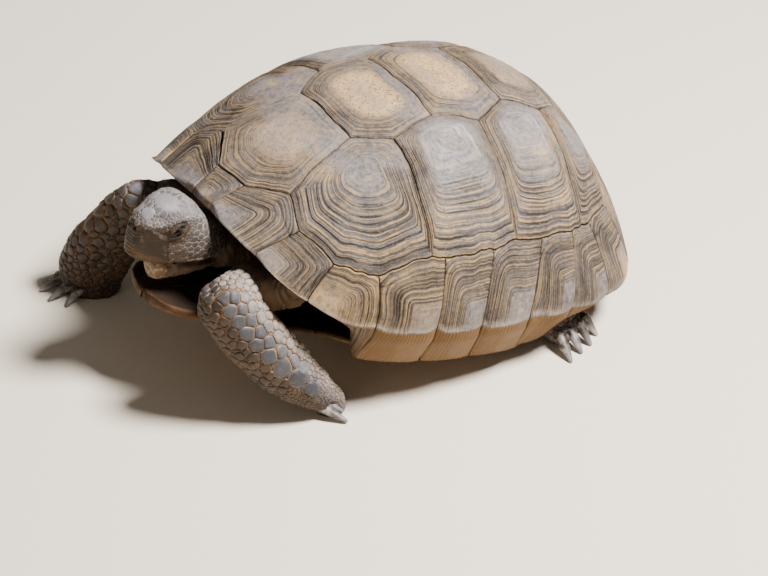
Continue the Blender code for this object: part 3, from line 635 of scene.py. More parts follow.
def horn(name, rim=False):
    """Weathered plate horn: grey and ochre growth rings, brown grooves, dust and fine lines."""
    look = settings("shell")
    f = Finish(name, specular=0.3)
    level, groove, edge, tone = f.facts("level", "groove", "edge", "tone")
    patches = f.noise(26, 4)
    dust = f.noise(75, 6, 0.65)
    speckle = f.noise(330, 4, 0.7)
    grain = f.noise(900, 4, 0.6)
    wobble = level + (f.noise(60, 3) - 0.5) * 0.05
    bands = f.line_noise(wobble + tone * 7, 22, 3, 0.7)
    threads = f.line_noise(wobble + tone * 3, 120, 2, 0.6)
    middle = 1 - (level + (dust - 0.5) * 0.35).above(0.18, 0.44 if rim else 0.6)
    if not rim:
        middle = (middle + (1 - f.fact("fresh")) * patches.above(0.3, 0.55) * 0.8).clamp()
    dark = 1 - bands.above(0.36, 0.45)
    smooth = 0.5 if rim else 0.4
    base = f.over(look.grey, look.blue, patches.above(0.38, 0.62) * 0.65 + middle * smooth)
    ringed = bands.above(0.48, 0.57) * (1 - middle * 0.75) * (0.35 + dust.above(0.36, 0.6) * 0.65)
    warm = patches.above(0.5, 0.66) * dust.above(0.38, 0.58) * (0.75 if rim else 0.45)
    if rim:
        warm = warm + f.fact("gold") * (0.25 + dust.above(0.35, 0.6) * 0.5)
    base = f.over(base, look.ochre, ringed * 0.95 + warm + edge * 0.2)
    base = f.over(base, look.ochre, speckle.above(0.5, 0.66) * 0.35)
    base = f.over(base, look.brown, speckle.above(0.5, 0.36) * 0.4)
    base = f.over(base, look.brown, dark * (1 - middle) * (0.72 if rim else 0.6))
    base = f.over(base, look.brown,
            threads.above(0.48, 0.62) * (1 - middle * 0.8) * (0.9 if rim else 0.75))
    base = f.over(base, look.brown, groove * 1.6)
    if rim:
        under, lip, bridge = f.facts("under", "lip", "bridge")
        base = f.over(base, look.pale, lip * lip * (0.05 + dust.above(0.35, 0.65) * 0.45))
        # Painted shade: away from the bridge, the rim's underside is dark banded brown, as if in
        # the overhang's shadow.
        painted_shade_under_rim = f.mix(bands.above(0.4, 0.7), SHADE["rim_underside_painted_shade"], look.brown)
        banded = f.over(look.tan, SHADE["bridge_pale"], bands.above(0.4, 0.7) * 0.5)
        base = f.mix(under, base, f.mix(bridge, painted_shade_under_rim, banded))
    else:
        pits = f.cells(560).above(0.16, 0.42)
        worn = f.mix(pits, SHADE["pit"], SHADE["sand"])
        worn = f.over(worn, SHADE["clay"], dust.above(0.46, 0.6) * 0.6)
        streaks = f.line_noise(level * 0.3 + patches * 0.25 + tone, 60, 3, 0.7)
        # Painted sheen: a paler streaky panel on the upper costals that stands in for a highlight.
        base = f.over(base, SHADE["painted_sheen_colour"],
                f.fact("polish") * (0.1 + streaks.above(0.4, 0.6) * 0.7))
        base = f.over(base, worn, f.fact("pitted") * (0.45 + speckle.above(0.3, 0.5) * 0.5))
    base = f.over(base, look.brown, edge.above(0.7, 1) * 0.9)
    shown = 1 - f.fact("under") * 0.9 if rim else 1
    base = f.over(base, look.pale, grain.above(0.56, 0.74) * 0.25 * shown)
    rough = 0.44 + dust * 0.2 + ringed * 0.16 - middle * 0.1
    normal = f.relief(threads, 0.00034)
    normal = f.relief(speckle, 0.00016, normal)
    normal = f.relief(grain, 0.00016, normal)
    return f.done(base, rough, normal)


# ---------------------------------------------------------------- the dome's plates


def ring_places(rng, start, mean):
    """Uneven places of the growth rings, from the old middle out, each with its strength."""
    places, here = [], start
    while here < 1 - 0.6 * mean:
        low, high = (0.35, 1) if len(places) % 2 == 0 else (0.1, 0.5)
        places.append((here, rng.uniform(low, high)))
        here += mean * rng.uniform(0.6, 1.35) * (1.15 - 0.35 * here)
    return places


def ring_grooves(rings, level, width):
    """How deep the rings' grooves are at each level, each of them this wide."""
    return sum(strength * np.exp(-(((level - place) / width) ** 2)) for place, strength in rings)


def dome_plate(name, corners, middle, material, seed, grown=(0, -1), pitted=0, polish=0):
    """A plate of the dome: a smooth old middle, growth rings round it, and a rounded edge."""
    look = settings("shell")
    rng = np.random.default_rng(seed)
    (place_x, place_y), (size_x, size_y), unworn = middle
    sharp = wander(sampled(inset(corners, look.half_seam / MM), look.spacing / MM))
    soft = sharp
    for _ in range(SOFT_PASSES):
        soft = (np.roll(soft, 1, 0) + 2 * soft + np.roll(soft, -1, 0)) / 4
    low, high = np.array(corners).min(axis=0), np.array(corners).max(axis=0)
    centre = low + (high - low) * (place_x, place_y)
    old = centre + (soft - centre) * (size_x, size_y)
    rings = ring_places(rng, DOME_OLD, DOME_RINGS)
    levels = list(np.linspace(0, DOME_OLD - 0.03, 6)[1:])
    for place, _ in rings:
        levels += [place - DOME_GROOVE, place, place + DOME_GROOVE]
    crests = [(a[0] + b[0]) / 2 for a, b in zip(rings, rings[1:])]
    levels = sorted(set(levels + crests))
    levels = [level for level in levels if 0 < level < 0.972] + [0.975]
    count = len(sharp)
    turn = np.arange(count) * 2 * np.pi / count
    turn = np.stack([np.cos(turn), np.sin(turn)], 1)
    way = (sharp - centre) / np.linalg.norm(sharp - centre, axis=1)[:, None]
    rows, facts = [], {"level": [], "groove": [], "edge": []}
    weather = 0.55 + 0.45 * waves(sharp, 30, seed + 5)
    facing = way @ np.array(grown) + 0.25 * waves(turn * 3, 4, seed + 6)
    fresh = 0.1 + 0.9 * ramp(-0.35, 0.45, facing)

    def add(plan, depth, level, groove, edge):
        rows.append(dome_points(plan, depth + HORN_TUCK))
        for key, value in (("level", level), ("groove", groove), ("edge", edge)):
            facts[key].append(np.broadcast_to(np.asarray(value, float), (count,)))

    def plan_at(level):
        t = (level - DOME_OLD) / (1 - DOME_OLD)
        if t < 0:
            return centre + (old - centre) * (level / DOME_OLD)
        outline = soft + (sharp - soft) * ramp(0.3, 1, t)
        ring = old * (1 - t) + outline * t
        swing = waves(turn * 3 + level * 5, 3.2, seed) * 0.45 * 4 * t * (1 - t)
        return ring + way * swing[:, None]

    zero = np.zeros(count)
    add(np.broadcast_to(centre, (count, 2)), zero, 0, 0, 0)
    for level in levels:
        plan = plan_at(level)
        groove = sum(strength * math.exp(-(((level - place) / DOME_GROOVE) ** 2))
                for place, strength in rings)
        groove *= 0.1 + 0.9 * float(ramp(0.32, 0.55, level))
        rough = np.clip(unworn * fresh * (1 + 0.5 * waves(plan, 22, seed + 9)), 0.08, 1.2)
        depth = look.ring_depth / MM * groove * rough + look.edge_fall / MM * level**4
        depth = depth + 0.12 * waves(plan, 7, seed + 3) * ramp(1, 0.9, np.full(count, level))
        add(plan, depth, level, np.minimum(groove, 1) * rough, ramp(0.9, 1, level))
    last = plan_at(1)
    inwards = (centre - last) / np.linalg.norm(last - centre, axis=1)[:, None]
    stretch = np.linalg.norm(dome_points(last + inwards, zero) - dome_points(last, zero), axis=1)
    stretch = stretch[:, None]
    for back, drop in ((0.8, 0.06), (0.45, 0.25), (0.2, 0.5), (0.04, 0.85)):
        here = last + inwards / stretch * (back * look.seam_round / MM)
        add(here, look.edge_fall / MM + drop * look.seam_round / MM, 1, weather * 0.2,
                0.75 + 0.25 * drop)
    add(last, zero + 2.2, 1, 0.5, 1)
    add(last, zero + PLATE_THICKNESS, 1, 1, 1)
    for level in (0.66, 0.33, 0):
        add(centre + (last - centre) * level, zero + PLATE_THICKNESS, 1, 1, 1)
    facts = {key: np.array(value) for key, value in facts.items()}
    facts["tone"] = np.full_like(facts["level"], rng.uniform())
    facts["pitted"] = pitted * ramp(0.62, 0.3, facts["level"])
    facts["fresh"] = np.broadcast_to(ramp(0.2, 0.75, fresh), facts["level"].shape)
    # Where the painted highlight lies: strongest towards the middle and on the plate's less fresh
    # side.
    facts["polish"] = polish * ramp(1, 0.15, facts["level"]) * (1 - 0.6 * facts["fresh"])
    return finish_piece(grid_piece(np.array(rows), facts), name, shell_matrix(), material,
            (name[:-5],))


def mirrored(points):
    return [(-x, y) for x, y in points]


class TORTOISE_OT_dome(bpy.types.Operator):
    """Makes the five vertebral and eight costal plates of the dome"""

    bl_idname = "tortoise.dome"
    bl_label = "Dome Plates"

    def execute(self, context):
        c = CORNER
        material = horn("dome_horn")
        halves = (
            (c["nuchal_in"], c["v1_m_c1"], c["v1_v2"]),
            (c["v1_v2"], c["v2_c1_c2"], c["v2_v3"]),
            (c["v2_v3"], c["v3_c2_c3"], c["v3_v4"]),
            (c["v3_v4"], c["v4_c3_c4"], c["v4_v5"]),
            (c["v4_v5"], c["v5_c4_m"], SEAMS[-1][0]),
        )
        for number, half in enumerate(halves, start=1):
            name = f"vertebral_{number}"
            corners = list(half) + mirrored(half)[::-1]
            dome_plate(name + "_horn", corners, MIDDLES[name], material,
                    SEEDS["vertebral"] + number, pitted=1 if number in (2, 3) else 0.35)
        rim = [inner for inner, _ in SEAMS]
        outlines = (
            (c["v1_m_c1"], *rim[1:4], c["c1_c2_m"], c["v2_c1_c2"], c["v1_v2"]),
            (c["c1_c2_m"], *rim[4:6], c["c2_c3_m"], c["v3_c2_c3"], c["v2_v3"], c["v2_c1_c2"]),
            (c["c2_c3_m"], *rim[6:8], c["c3_c4_m"], c["v4_c3_c4"], c["v3_v4"], c["v3_c2_c3"]),
            (c["c3_c4_m"], *rim[8:10], c["v5_c4_m"], c["v4_v5"], c["v4_c3_c4"]),
        )
        for number, outline in enumerate(outlines, start=1):
            (place_x, place_y), size, unworn = MIDDLES[f"costal_{number}"]
            for side, sign in SIDES:
                corners = outline if side == "left" else mirrored(outline)
                place = (place_x if side == "left" else 1 - place_x, place_y)
                dome_plate(f"costal_{side}_{number}_horn", corners, (place, size, unworn), material,
                        SEEDS["costal_" + side] + number,
                        (sign * COSTAL_GROWTH[0], COSTAL_GROWTH[1]),
                        polish=COSTAL_PAINTED_SHEEN[number - 1])
        return {"FINISHED"}


# ---------------------------------------------------------------- the rim's plates


def bridge_share(angle):
    """1 along the bridge, 0 where the rim is free, with a short slope between."""
    angle = min(angle, 360 - angle)
    rise = ramp(BRIDGE_START - BRIDGE_RISE, BRIDGE_START + BRIDGE_RISE, angle)
    fall = 1 - ramp(BRIDGE_END - BRIDGE_FALL, BRIDGE_END + BRIDGE_FALL, angle)
    return float(min(rise, fall))


def under_point(rim_xyz, inner, angle, way_in):
    """A point of the rim's underside, a share of the way in from the rim."""
    bridge = bridge_share(angle)
    inwards = FREE_IN + (BRIDGE_IN - FREE_IN) * bridge
    up = FREE_UP + (BRIDGE_UP - FREE_UP) * bridge
    plan = np.array(inner) - rim_xyz[:2]
    plan = plan / np.linalg.norm(plan)
    drop = -RIM_LIP * (1 - way_in)
    return rim_xyz + np.array((*(plan * inwards * way_in), up * way_in + drop))


def along(points, shares):
    """Points at these shares of the way along a line of points."""
    points = np.asarray(points, float)
    run = np.concatenate([[0], np.cumsum(np.linalg.norm(np.diff(points, axis=0), axis=1))])
    return np.stack([np.interp(np.asarray(shares) * run[-1], run, points[:, k])
            for k in range(points.shape[1])], 1)


def columns_over(run, ends, first, count):
    """Shares of a run: close together near both its ends and even between."""
    ends = np.array(ends) / run
    return np.concatenate([ends, np.linspace(first / run, 1 - first / run, count), 1 - ends[::-1]])


def closed_plate(name, places, facts, side, material):
    """Brings a plate's grid to its side of the body and makes it a piece of its own."""
    places[..., 0] *= side
    body = grid_piece(places, facts, wrap_u=False, wrap_v=True)
    return finish_piece(body, name, shell_matrix(), material, (name[:-5],))


def rim_section(inner, angle, outer_shares, under_shares, back_off):
    """A rim plate's closed section: down its outer face, round its lip, in below and back up."""
    rim = rim_point(angle)
    rim = rim + (inner - rim) / np.linalg.norm(inner - rim) * back_off
    shares = 1 - (1 - np.linspace(0, 1, 26)) ** 1.5
    outer = dome_points(inner + (rim - inner) * shares[:-1, None], HORN_TUCK)
    rim_xyz = np.array((*rim, float(rim_height(rim[1]))))
    under = [under_point(rim_xyz, inner, angle, k)
            for k in (0.05, 0.1, 0.2, 0.35, 0.5, 0.7, 0.85, 1)]
    line = np.concatenate([outer, rim_xyz[None, :], np.array(under)])
    lip = len(outer)
    for _ in range(5):
        line[lip - 3:lip + 3] = (line[lip - 4:lip + 2] + 2 * line[lip - 3:lip + 3]
                + line[lip - 2:lip + 4]) / 4
    wall = dome_points(inner[None, :], PLATE_THICKNESS)
    top = along(line[:lip + 1], outer_shares)
    below = along(line[lip:], under_shares)
    back = along(np.concatenate([line[-1:], wall, line[:1]]), (0.3, 0.6, 0.9))
    return np.concatenate([top, below, back])


def grid_normals(places, wrap_rows):
    if wrap_rows:
        down = np.roll(places, -1, 0) - np.roll(places, 1, 0)
    else:
        down = np.gradient(places, axis=0)
    across = np.gradient(places, axis=1)
    normal = np.cross(down, across)
    return normal / np.maximum(np.linalg.norm(normal, axis=2), 1e-9)[..., None]


def rim_plate(name, inner_points, angles, material, seed, side=1, notches=(0.9, 0.9), back_off=0.5):
    """A plate of the rim: L-shaped growth rings about an old spot near its lip, and a furrow."""
    look = settings("shell")
    rng = np.random.default_rng(seed)
    inner_line = wander(along(inner_points, np.linspace(0, 1, 40)))
    run = np.linalg.norm(np.diff(inner_line, axis=0), axis=1).sum()
    columns = columns_over(run, (0, 0.25, 0.6, 1.1), 2, max(24, int(run / 0.55)))
    outer_shares = np.concatenate([[0, 0.01, 0.025, 0.045], np.linspace(0.07, 1, 62)])
    under_shares = np.concatenate([np.linspace(0.04, 0.24, 6), np.linspace(0.3, 1, 15)])
    half_seam = look.half_seam / MM
    margin = half_seam / run
    sections = []
    for s in columns:
        s = margin + s * (1 - 2 * margin)
        inner = along(inner_line, [s])[0]
        angle = angles[0] + (angles[1] - angles[0]) * s
        outward = rim_point(angle) - inner
        inner = inner + outward / np.linalg.norm(outward) * half_seam
        notch = sum(deep * math.exp(-((far * run / (2.4 + 2 * deep)) ** 2))
                for deep, far in zip(notches, (s, 1 - s)))
        sections.append(rim_section(inner, angle, outer_shares, under_shares, back_off + notch))
    places = np.stack(sections, axis=1)
    if (angles[0] + angles[1]) % 360 == 0:
        old_s = 0.5
    else:
        old_s = 0.22 if max(angles) < 60 else 0.8
    top = len(outer_shares)
    w = np.concatenate([outer_shares, 1 + under_shares, np.full(3, 2)])[:, None]
    s = columns[None, :] + 0 * w
    w = w + 0 * s
    old_w = 0.86
    width = np.linalg.norm(np.diff(places[:top], axis=1), axis=2).sum(axis=1)
    width = np.concatenate([width, np.full(len(places) - top, width[-1])])[:, None]
    fall = np.abs(s - old_s) / max(old_s, 1 - old_s) * 0.94
    rise = np.where(w < old_w, (old_w - w) / old_w, (np.minimum(w, 1) - old_w) / (1 - old_w) * 0.35)
    plan = np.stack([s.ravel() * 24, w.ravel() * 24], axis=1)
    swing = waves(plan, 13, seed + 1).reshape(s.shape) * 0.012
    level = (fall**8 + rise**8) ** 0.125 + swing
    groove = ring_grooves(ring_places(rng, RIM_OLD, RIM_RINGS), level, RIM_GROOVE)
    groove = groove * (0.2 + 0.8 * ramp(0.15, 0.45, level))
    groove = groove * (0.4 if name.startswith("nuchal") else 1)
    furrow = np.exp(-(((w - 0.2 - swing) / 0.014) ** 2)) * 0.35
    outer = 1 - ramp(0.9, 1, w)
    under = ramp(1, 1.08, w)
    groove = np.minimum(groove + furrow, 1.2)
    rough = np.clip(0.8 + 0.5 * waves(plan, 17, seed + 2).reshape(s.shape), 0.2, 1)
    end = np.minimum(s, 1 - s) * width
    seam = look.seam_round / MM
    edge = np.maximum(1 - end / seam, np.where(w < 1, 1 - w * 26 / seam, 0))
    edge = np.clip(edge, 0, 1)
    lines = np.mod(s * width / 2.1 + (w - 1) * 1.4 + swing * 30, 1)
    ridges = np.exp(-(((lines - 0.5) / 0.2) ** 2)) * under * 0.5
    depth = look.ring_depth / MM * (groove * rough * outer + ridges)
    depth = depth + edge**2 * seam * 0.9 * np.where(w < 1.98, 1, 0)
    depth = depth + look.edge_fall / MM * 0.6 * np.clip(level, 0, 1) ** 4 * outer
    normal = grid_normals(places, True)
    normal[:4] = grid_normals(places[:top], False)[:4]
    middle = places.mean(axis=(0, 1))
    if np.sum(normal[:top] * (places[:top] - middle)) < 0:
        normal = -normal
    places = places - normal * depth[..., None]
    turn = angles[0] + (angles[1] - angles[0]) * s
    facts = {
        "bridge": ramp(SEAMS[3][1] - 4, SEAMS[3][1] + 3, np.minimum(turn, 360 - turn)),
        "level": np.clip(level, 0, 1.2),
        "groove": np.clip(groove * rough * outer + ridges, 0, 1),
        "edge": edge,
        "tone": np.full_like(level, rng.uniform()),
        "under": under,
        "gold": bell((angles[0] + angles[1]) / 2 - 50, 16) + 0 * w,
        "lip": ramp(0.86, 1, w) * (1 - ramp(1, 1.06, w)),
    }
    return closed_plate(name, places, facts, side, material)


class TORTOISE_OT_rim(bpy.types.Operator):
    """Makes the marginal plates round the rim, and the nuchal and supracaudal plates"""

    bl_idname = "tortoise.rim"
    bl_label = "Rim Plates"

    def execute(self, context):
        material = horn("rim_horn", rim=True)
        for number in range(1, len(SEAMS)):
            (start, start_angle), (end, end_angle) = SEAMS[number - 1], SEAMS[number]
            inner = [start, end]
            if number in BENDS:
                inner.insert(1, CORNER[BENDS[number]])
            angles = (start_angle, end_angle)
            notches = {1: (3.4, 2.2), 2: (2.2, 1.7), 3: (1.7, 1)}.get(number, (1, 1))
            for side, sign in SIDES:
                rim_plate(f"marginal_{side}_{number}_horn", inner, angles, material,
                        SEEDS["marginal_" + side] + number, sign, notches)
        for name, (inner, angle) in (("nuchal", SEAMS[0]), ("supracaudal", SEAMS[-1])):
            other = (-inner[0], inner[1])
            nuchal = name == "nuchal"
            angles = (-angle if nuchal else 360 - angle, angle)
            rim_plate(name + "_horn", [other, inner], angles, material, SEEDS["rim_ends"],
                    notches=(0.6, 0.6), back_off=3.2 if nuchal else 0.6)
        return {"FINISHED"}


# ---------------------------------------------------------------- the plastron


def plastron_half_width(y):
    return np.interp(y, [p[0] for p in PLASTRON_OUTLINE], [p[1] for p in PLASTRON_OUTLINE])


def plastron_height(y):
    """The underside's height: lowest under the bridge, turned up a little at both ends."""
    end = np.where(y < 0, y / PLASTRON_OUTLINE[0][0], y / PLASTRON_OUTLINE[-1][0])
    return PLASTRON_Z + np.where(y < 0, PLASTRON_FRONT_RISE, PLASTRON_REAR_RISE) * end**2


def plastron_plate(name, front, rear, material, seed, side):
    """A plate of the plastron: rounded edges, faint growth rings below, and smooth above."""
    rng = np.random.default_rng(seed)
    run = rear - front
    columns = columns_over(run, (0, 0.3, 0.8, 1.6), 2.6, max(14, int(run / 1.3)))
    y = front + HALF_GROOVE + columns * (run - 2 * HALF_GROOVE)
    low_way = np.concatenate([[0, 0.006, 0.016, 0.03], np.linspace(0.05, 1, 44)])
    edge_way = np.linspace(0, 1, 9)[1:-1]
    top_way = np.linspace(1, 0, 22)
    half = plastron_half_width(y)
    gular = np.clip((-90 - y) / 40, 0, 1)
    thick = PLASTRON_THICKNESS + (GULAR_THICKNESS - PLASTRON_THICKNESS) * gular
    low = plastron_height(y)
    turn = edge_way * math.pi
    share_ = np.concatenate([low_way, np.ones(len(edge_way)), top_way])[:, None] + 0 * y
    height = np.concatenate([np.zeros(len(low_way)), (1 - np.cos(turn)) / 2, np.ones(len(top_way))])
    bulge = np.concatenate([np.zeros(len(low_way)), np.sin(turn), np.zeros(len(top_way))])[:, None]
    tuck = np.minimum(1.6, half * 0.1)
    x = HALF_GROOVE + (half - tuck - HALF_GROOVE) * share_ + bulge * tuck
    notch = ANAL_NOTCH * np.clip(1 - x / 17, 0, 1) * np.clip((y - 105) / 13, 0, None)
    z = low + EDGE_CURL * share_**6 * (1 - height[:, None]) + thick * height[:, None]
    places = np.stack([x, y - notch, z], axis=2)
    s = columns[None, :] + 0 * share_
    under = 1 - ramp(0.2, 0.6, height)[:, None] + 0 * s
    plan = np.stack([x.ravel(), (y + 0 * x).ravel()], axis=1)
    swing = waves(plan, 24, seed + 1).reshape(s.shape) * 0.02
    level = ((np.abs(s - 0.55) / 0.5) ** 5 + (np.abs(share_ - 0.35) / 0.66) ** 5) ** 0.2 + swing
    groove = ring_grooves(ring_places(rng, PLASTRON_OLD, PLASTRON_RINGS), level, PLASTRON_GROOVE)
    end = np.minimum(s, 1 - s) * run
    midline = (1 - share_ * half / 1.6) * (0.3 if name.startswith("gular") else 1)
    edge = np.clip(np.maximum(1 - end / 1.6, midline), 0, 1)
    depth = 0.3 * groove * under + edge**2 * 0.9
    normal = grid_normals(places, True)
    if np.sum(normal[:20, :, 2]) > 0:
        normal = -normal
    places = places - normal * depth[..., None]
    rim = 0.6 * ramp(0.95, 1, share_)
    if name.startswith("gular"):
        rim = np.maximum(ramp(0.9, 1, share_), ramp(0.1, 0.02, s))
    facts = {
        "level": np.clip(level, 0, 1.2),
        "groove": np.clip(groove * under, 0, 1),
        "edge": edge,
        "tone": np.full_like(level, rng.uniform()),
        "under": under,
        "lip": rim + 0 * s,
    }
    return closed_plate(name, places, facts, side, material)


def plastron_horn():
    """Smooth near-black red-brown horn above, which is painted shade, a dark brown edge that is
    partly painted shade, and tan with dark rings below.
    """
    look = settings("shell")
    f = Finish("plastron_horn", specular=0.2)
    groove, edge, tone, under, lip, level = f.facts("groove", "edge", "tone", "under", "lip",
            "level")
    clouds, dust, grain = f.noise(35, 4), f.noise(90, 5), f.noise(700, 3)
    bands = f.line_noise(level + tone * 5 + clouds * 0.08, 18)
    # Painted shade: the plates' top faces, the gular's among them, are near black.
    above = f.mix(clouds.above(0.3, 0.7), SHADE["gular_top_painted_shade_black"], SHADE["gular_top_painted_shade_brown"])
    below = f.over(look.tan, SHADE["belly_ring"], bands.above(0.42, 0.62) * 0.8)
    base = f.mix(under, above, below)
    # The edge's dark brown is partly its own colour and partly painted shade.
    base = f.over(base, SHADE["gular_edge_partly_painted_shade"], lip * (0.35 + dust * 0.7))
    base = f.over(base, look.brown, groove * 0.7 + edge.above(0.7, 1) * 0.6)
    base = f.over(base, look.ochre, dust.above(0.5, 0.75) * under * 0.35)
    normal = f.relief(grain, 0.00012, f.relief(bands, 0.0002))
    return f.done(base, 0.55 + dust * 0.25, normal)


class TORTOISE_OT_plastron(bpy.types.Operator):
    """Makes the six pairs of plates under the body"""

    bl_idname = "tortoise.plastron"
    bl_label = "Plastron Plates"

    def execute(self, context):
        material = plastron_horn()
        for number, (name, front, rear) in enumerate(PLASTRON_PLATES):
            for side, sign in SIDES:
                plastron_plate(f"{name}_{side}_horn", front, rear, material,
                        SEEDS["plastron_" + side] + number, sign)
        return {"FINISHED"}


# ---------------------------------------------------------------- limbs as paths


class Limb:
    """A limb's path in the standing animal's millimetres, which gives points a run and an angle."""

    def __init__(self, centres, across):
        self.centres = np.array(centres, float)
        self.across = np.array(across, float)

    def frames(self):
        run = 0
        for start, end in zip(self.centres, self.centres[1:]):
            size = np.linalg.norm(end - start)
            way = (end - start) / size
            wide = self.across - way * self.across.dot(way)
            wide /= np.linalg.norm(wide)
            yield start, way, wide, np.cross(way, wide), size, run
            run += size

    def measure(self, points):
        """Run along the path, angle in degrees from the wide way, and distance from the path."""
        best = np.full(len(points), np.inf)
        run_at, angle = np.zeros(len(points)), np.zeros(len(points))
        for start, way, wide, thick, size, run in self.frames():
            t = np.clip((points - start) @ way, 0, size)
            off = points - start - t[:, None] * way
            distance = np.linalg.norm(off, axis=1)
            nearer = distance < best
            best = np.where(nearer, distance, best)
            run_at = np.where(nearer, run + t, run_at)
            angle = np.where(nearer, np.degrees(np.arctan2(off @ thick, off @ wide)), angle)
        return run_at, angle, best

    def ray(self, run, angle):
        """The path's point at a run, and the direction out from it at an angle."""
        for start, way, wide, thick, size, before in self.frames():
            if run <= before + size or before + size > self.length() - 1e-6:
                turn = math.radians(angle)
                return start + way * (run - before), wide * math.cos(turn) + thick * math.sin(turn)

    def length(self):
        return float(np.linalg.norm(np.diff(self.centres, axis=0), axis=1).sum())


HIND_PATH = (
    (42, 56, 46), (55, 65, 38), (66.5, 72, 26), (76.5, 77.5, 15), (84.5, 81, 9),
    (92, 84, 5), (97.5, 86.3, 3),
)
LIMBS = {
    "foreleg_left": Limb(
        ((48.5, -129, 90), (51, -125.5, 80), (58, -114.8, 59.5), (68, -98.4, 36),
         (75.5, -86.2, 22), (77.5, -76.5, 12), (77.5, -71.5, 5), (78, -69, -2)),
        (0.07, 0.81, 0.58)),
    "foreleg_right": Limb(
        ((-53.5, -105.5, 80.5), (-57, -107.5, 74), (-65.5, -112.5, 61.5), (-72.5, -119, 46.5),
         (-79.5, -125.5, 31.5), (-85, -128.5, 16), (-86, -129.5, 5), (-86, -130, -2)),
        (0.6, 0.8, 0)),
    "hindleg_left": Limb(HIND_PATH, (-0.5, 0.85, 0)),
    "hindleg_right": Limb([(-x, y, z) for x, y, z in HIND_PATH], (0.5, 0.85, 0)),
    "tail": Limb(
        ((0, 84, 26), (1, 102, 21), (5, 116, 16.5), (13, 126, 13),
         (22, 130.5, 10.5), (28, 131.5, 9)),
        (1, 0, 0)),
}
FLESH = ("trunk", "neck", "head", "jaw", "foreleg_left", "foreleg_right", "hindleg_left",
        "hindleg_right",
        "tail")

# Claws: where each grows from, its way and its length.
LEFT_FORE_CLAWS = (
    ((84.2, -76.8, 5.5), (0.78, 0.56, -0.28), 12.5),
    ((79.5, -77, 9.5), (0.67, 0.64, -0.38), 12.5),
    ((71.5, -66.5, 6.5), (0.00, 0.95, -0.32), 9),
    ((67.5, -69.5, 5.5), (-0.35, 0.88, -0.3), 9),
    ((66, -74, 5), (-0.65, 0.7, -0.3), 8),
)
RIGHT_FORE_CLAWS = (
    ((-98.5, -134.5, 5.5), (-0.75, -0.6, -0.3), 11),
    ((-98, -141, 5.5), (-0.5, -0.82, -0.3), 12.5),
    ((-94, -145, 5.5), (-0.25, -0.93, -0.3), 12.5),
    ((-87, -145.5, 5.5), (0.05, -0.95, -0.3), 12),
    ((-80, -141.5, 5.5), (0.35, -0.88, -0.3), 10.5),
)
LEFT_HIND_CLAWS = (
    ((104, 71, 7), (0.88, -0.12, -0.47), 13),
    ((102.5, 79.5, 7), (0.84, 0.00, -0.54), 11),
    ((100, 87.5, 7), (0.8, 0.12, -0.58), 10.5),
    ((95.5, 95, 6.5), (0.74, 0.25, -0.6), 9.5),
)

CLAWS = {
    "foreleg_left": LEFT_FORE_CLAWS,
    "foreleg_right": RIGHT_FORE_CLAWS,
    "hindleg_left": LEFT_HIND_CLAWS,
    "hindleg_right": tuple(((-x, y, z), (-u, v, w), size)
        for (x, y, z), (u, v, w), size in LEFT_HIND_CLAWS),
}


# ---------------------------------------------------------------- the head, in the shell's frame

EYE_RADIUS, LID_THICKNESS = 5, 0.9
SLIT_MIDDLE, SLIT_TURN = (-148, 62.5), math.radians(42)
SLIT_HALF_LENGTH, SLIT_HALF_HEIGHT = 5.3, 2
BROW = ((-168, 66), (-166, 65.4), (-161, 63.4), (-156, 64.6), (-151, 67.2), (-144, 69.6),
        (-138, 70), (-130, 66), (-120, 60))
BEAK_REAR = ((31, -141.5), (37, -143.5), (43.8, -147), (55, -151.5), (60.8, -159), (64, -166.5))
MOUTH = ((-168, 43), (-164, 41), (-158, 39.6), (-152, 38.4), (-146, 37.8), (-140.5, 38))


def at(table, value):
    return np.interp(value, [row[0] for row in table], [row[1] for row in table])


def slit_place(points):
    """Places along and across the opening between the lids."""
    y, z = points[:, 1] - SLIT_MIDDLE[0], points[:, 2] - SLIT_MIDDLE[1]
    c, s = math.cos(SLIT_TURN), math.sin(SLIT_TURN)
    return y * c + z * s, -y * s + z * c


def slit_half(p):
    return SLIT_HALF_HEIGHT * np.clip(1 - (np.abs(p) / SLIT_HALF_LENGTH) ** 2.2, 0, 1)


def beak_share(points):
    """1 on the beak, 0 behind its edge."""
    y, z = points[:, 1], points[:, 2]
    upper = ramp(0.5, -0.5, y - at(BEAK_REAR, z)) * ramp(1.5, 0, z - at(BROW, y) + 1.5)
    lower = ramp(-144.5, -146.5, y) * ramp(38, 36.5, z)
    return np.clip(upper * ramp(36, 38, z) + lower, 0, 1)


def bell(value, width):
    return np.exp(-((value / width) ** 2))


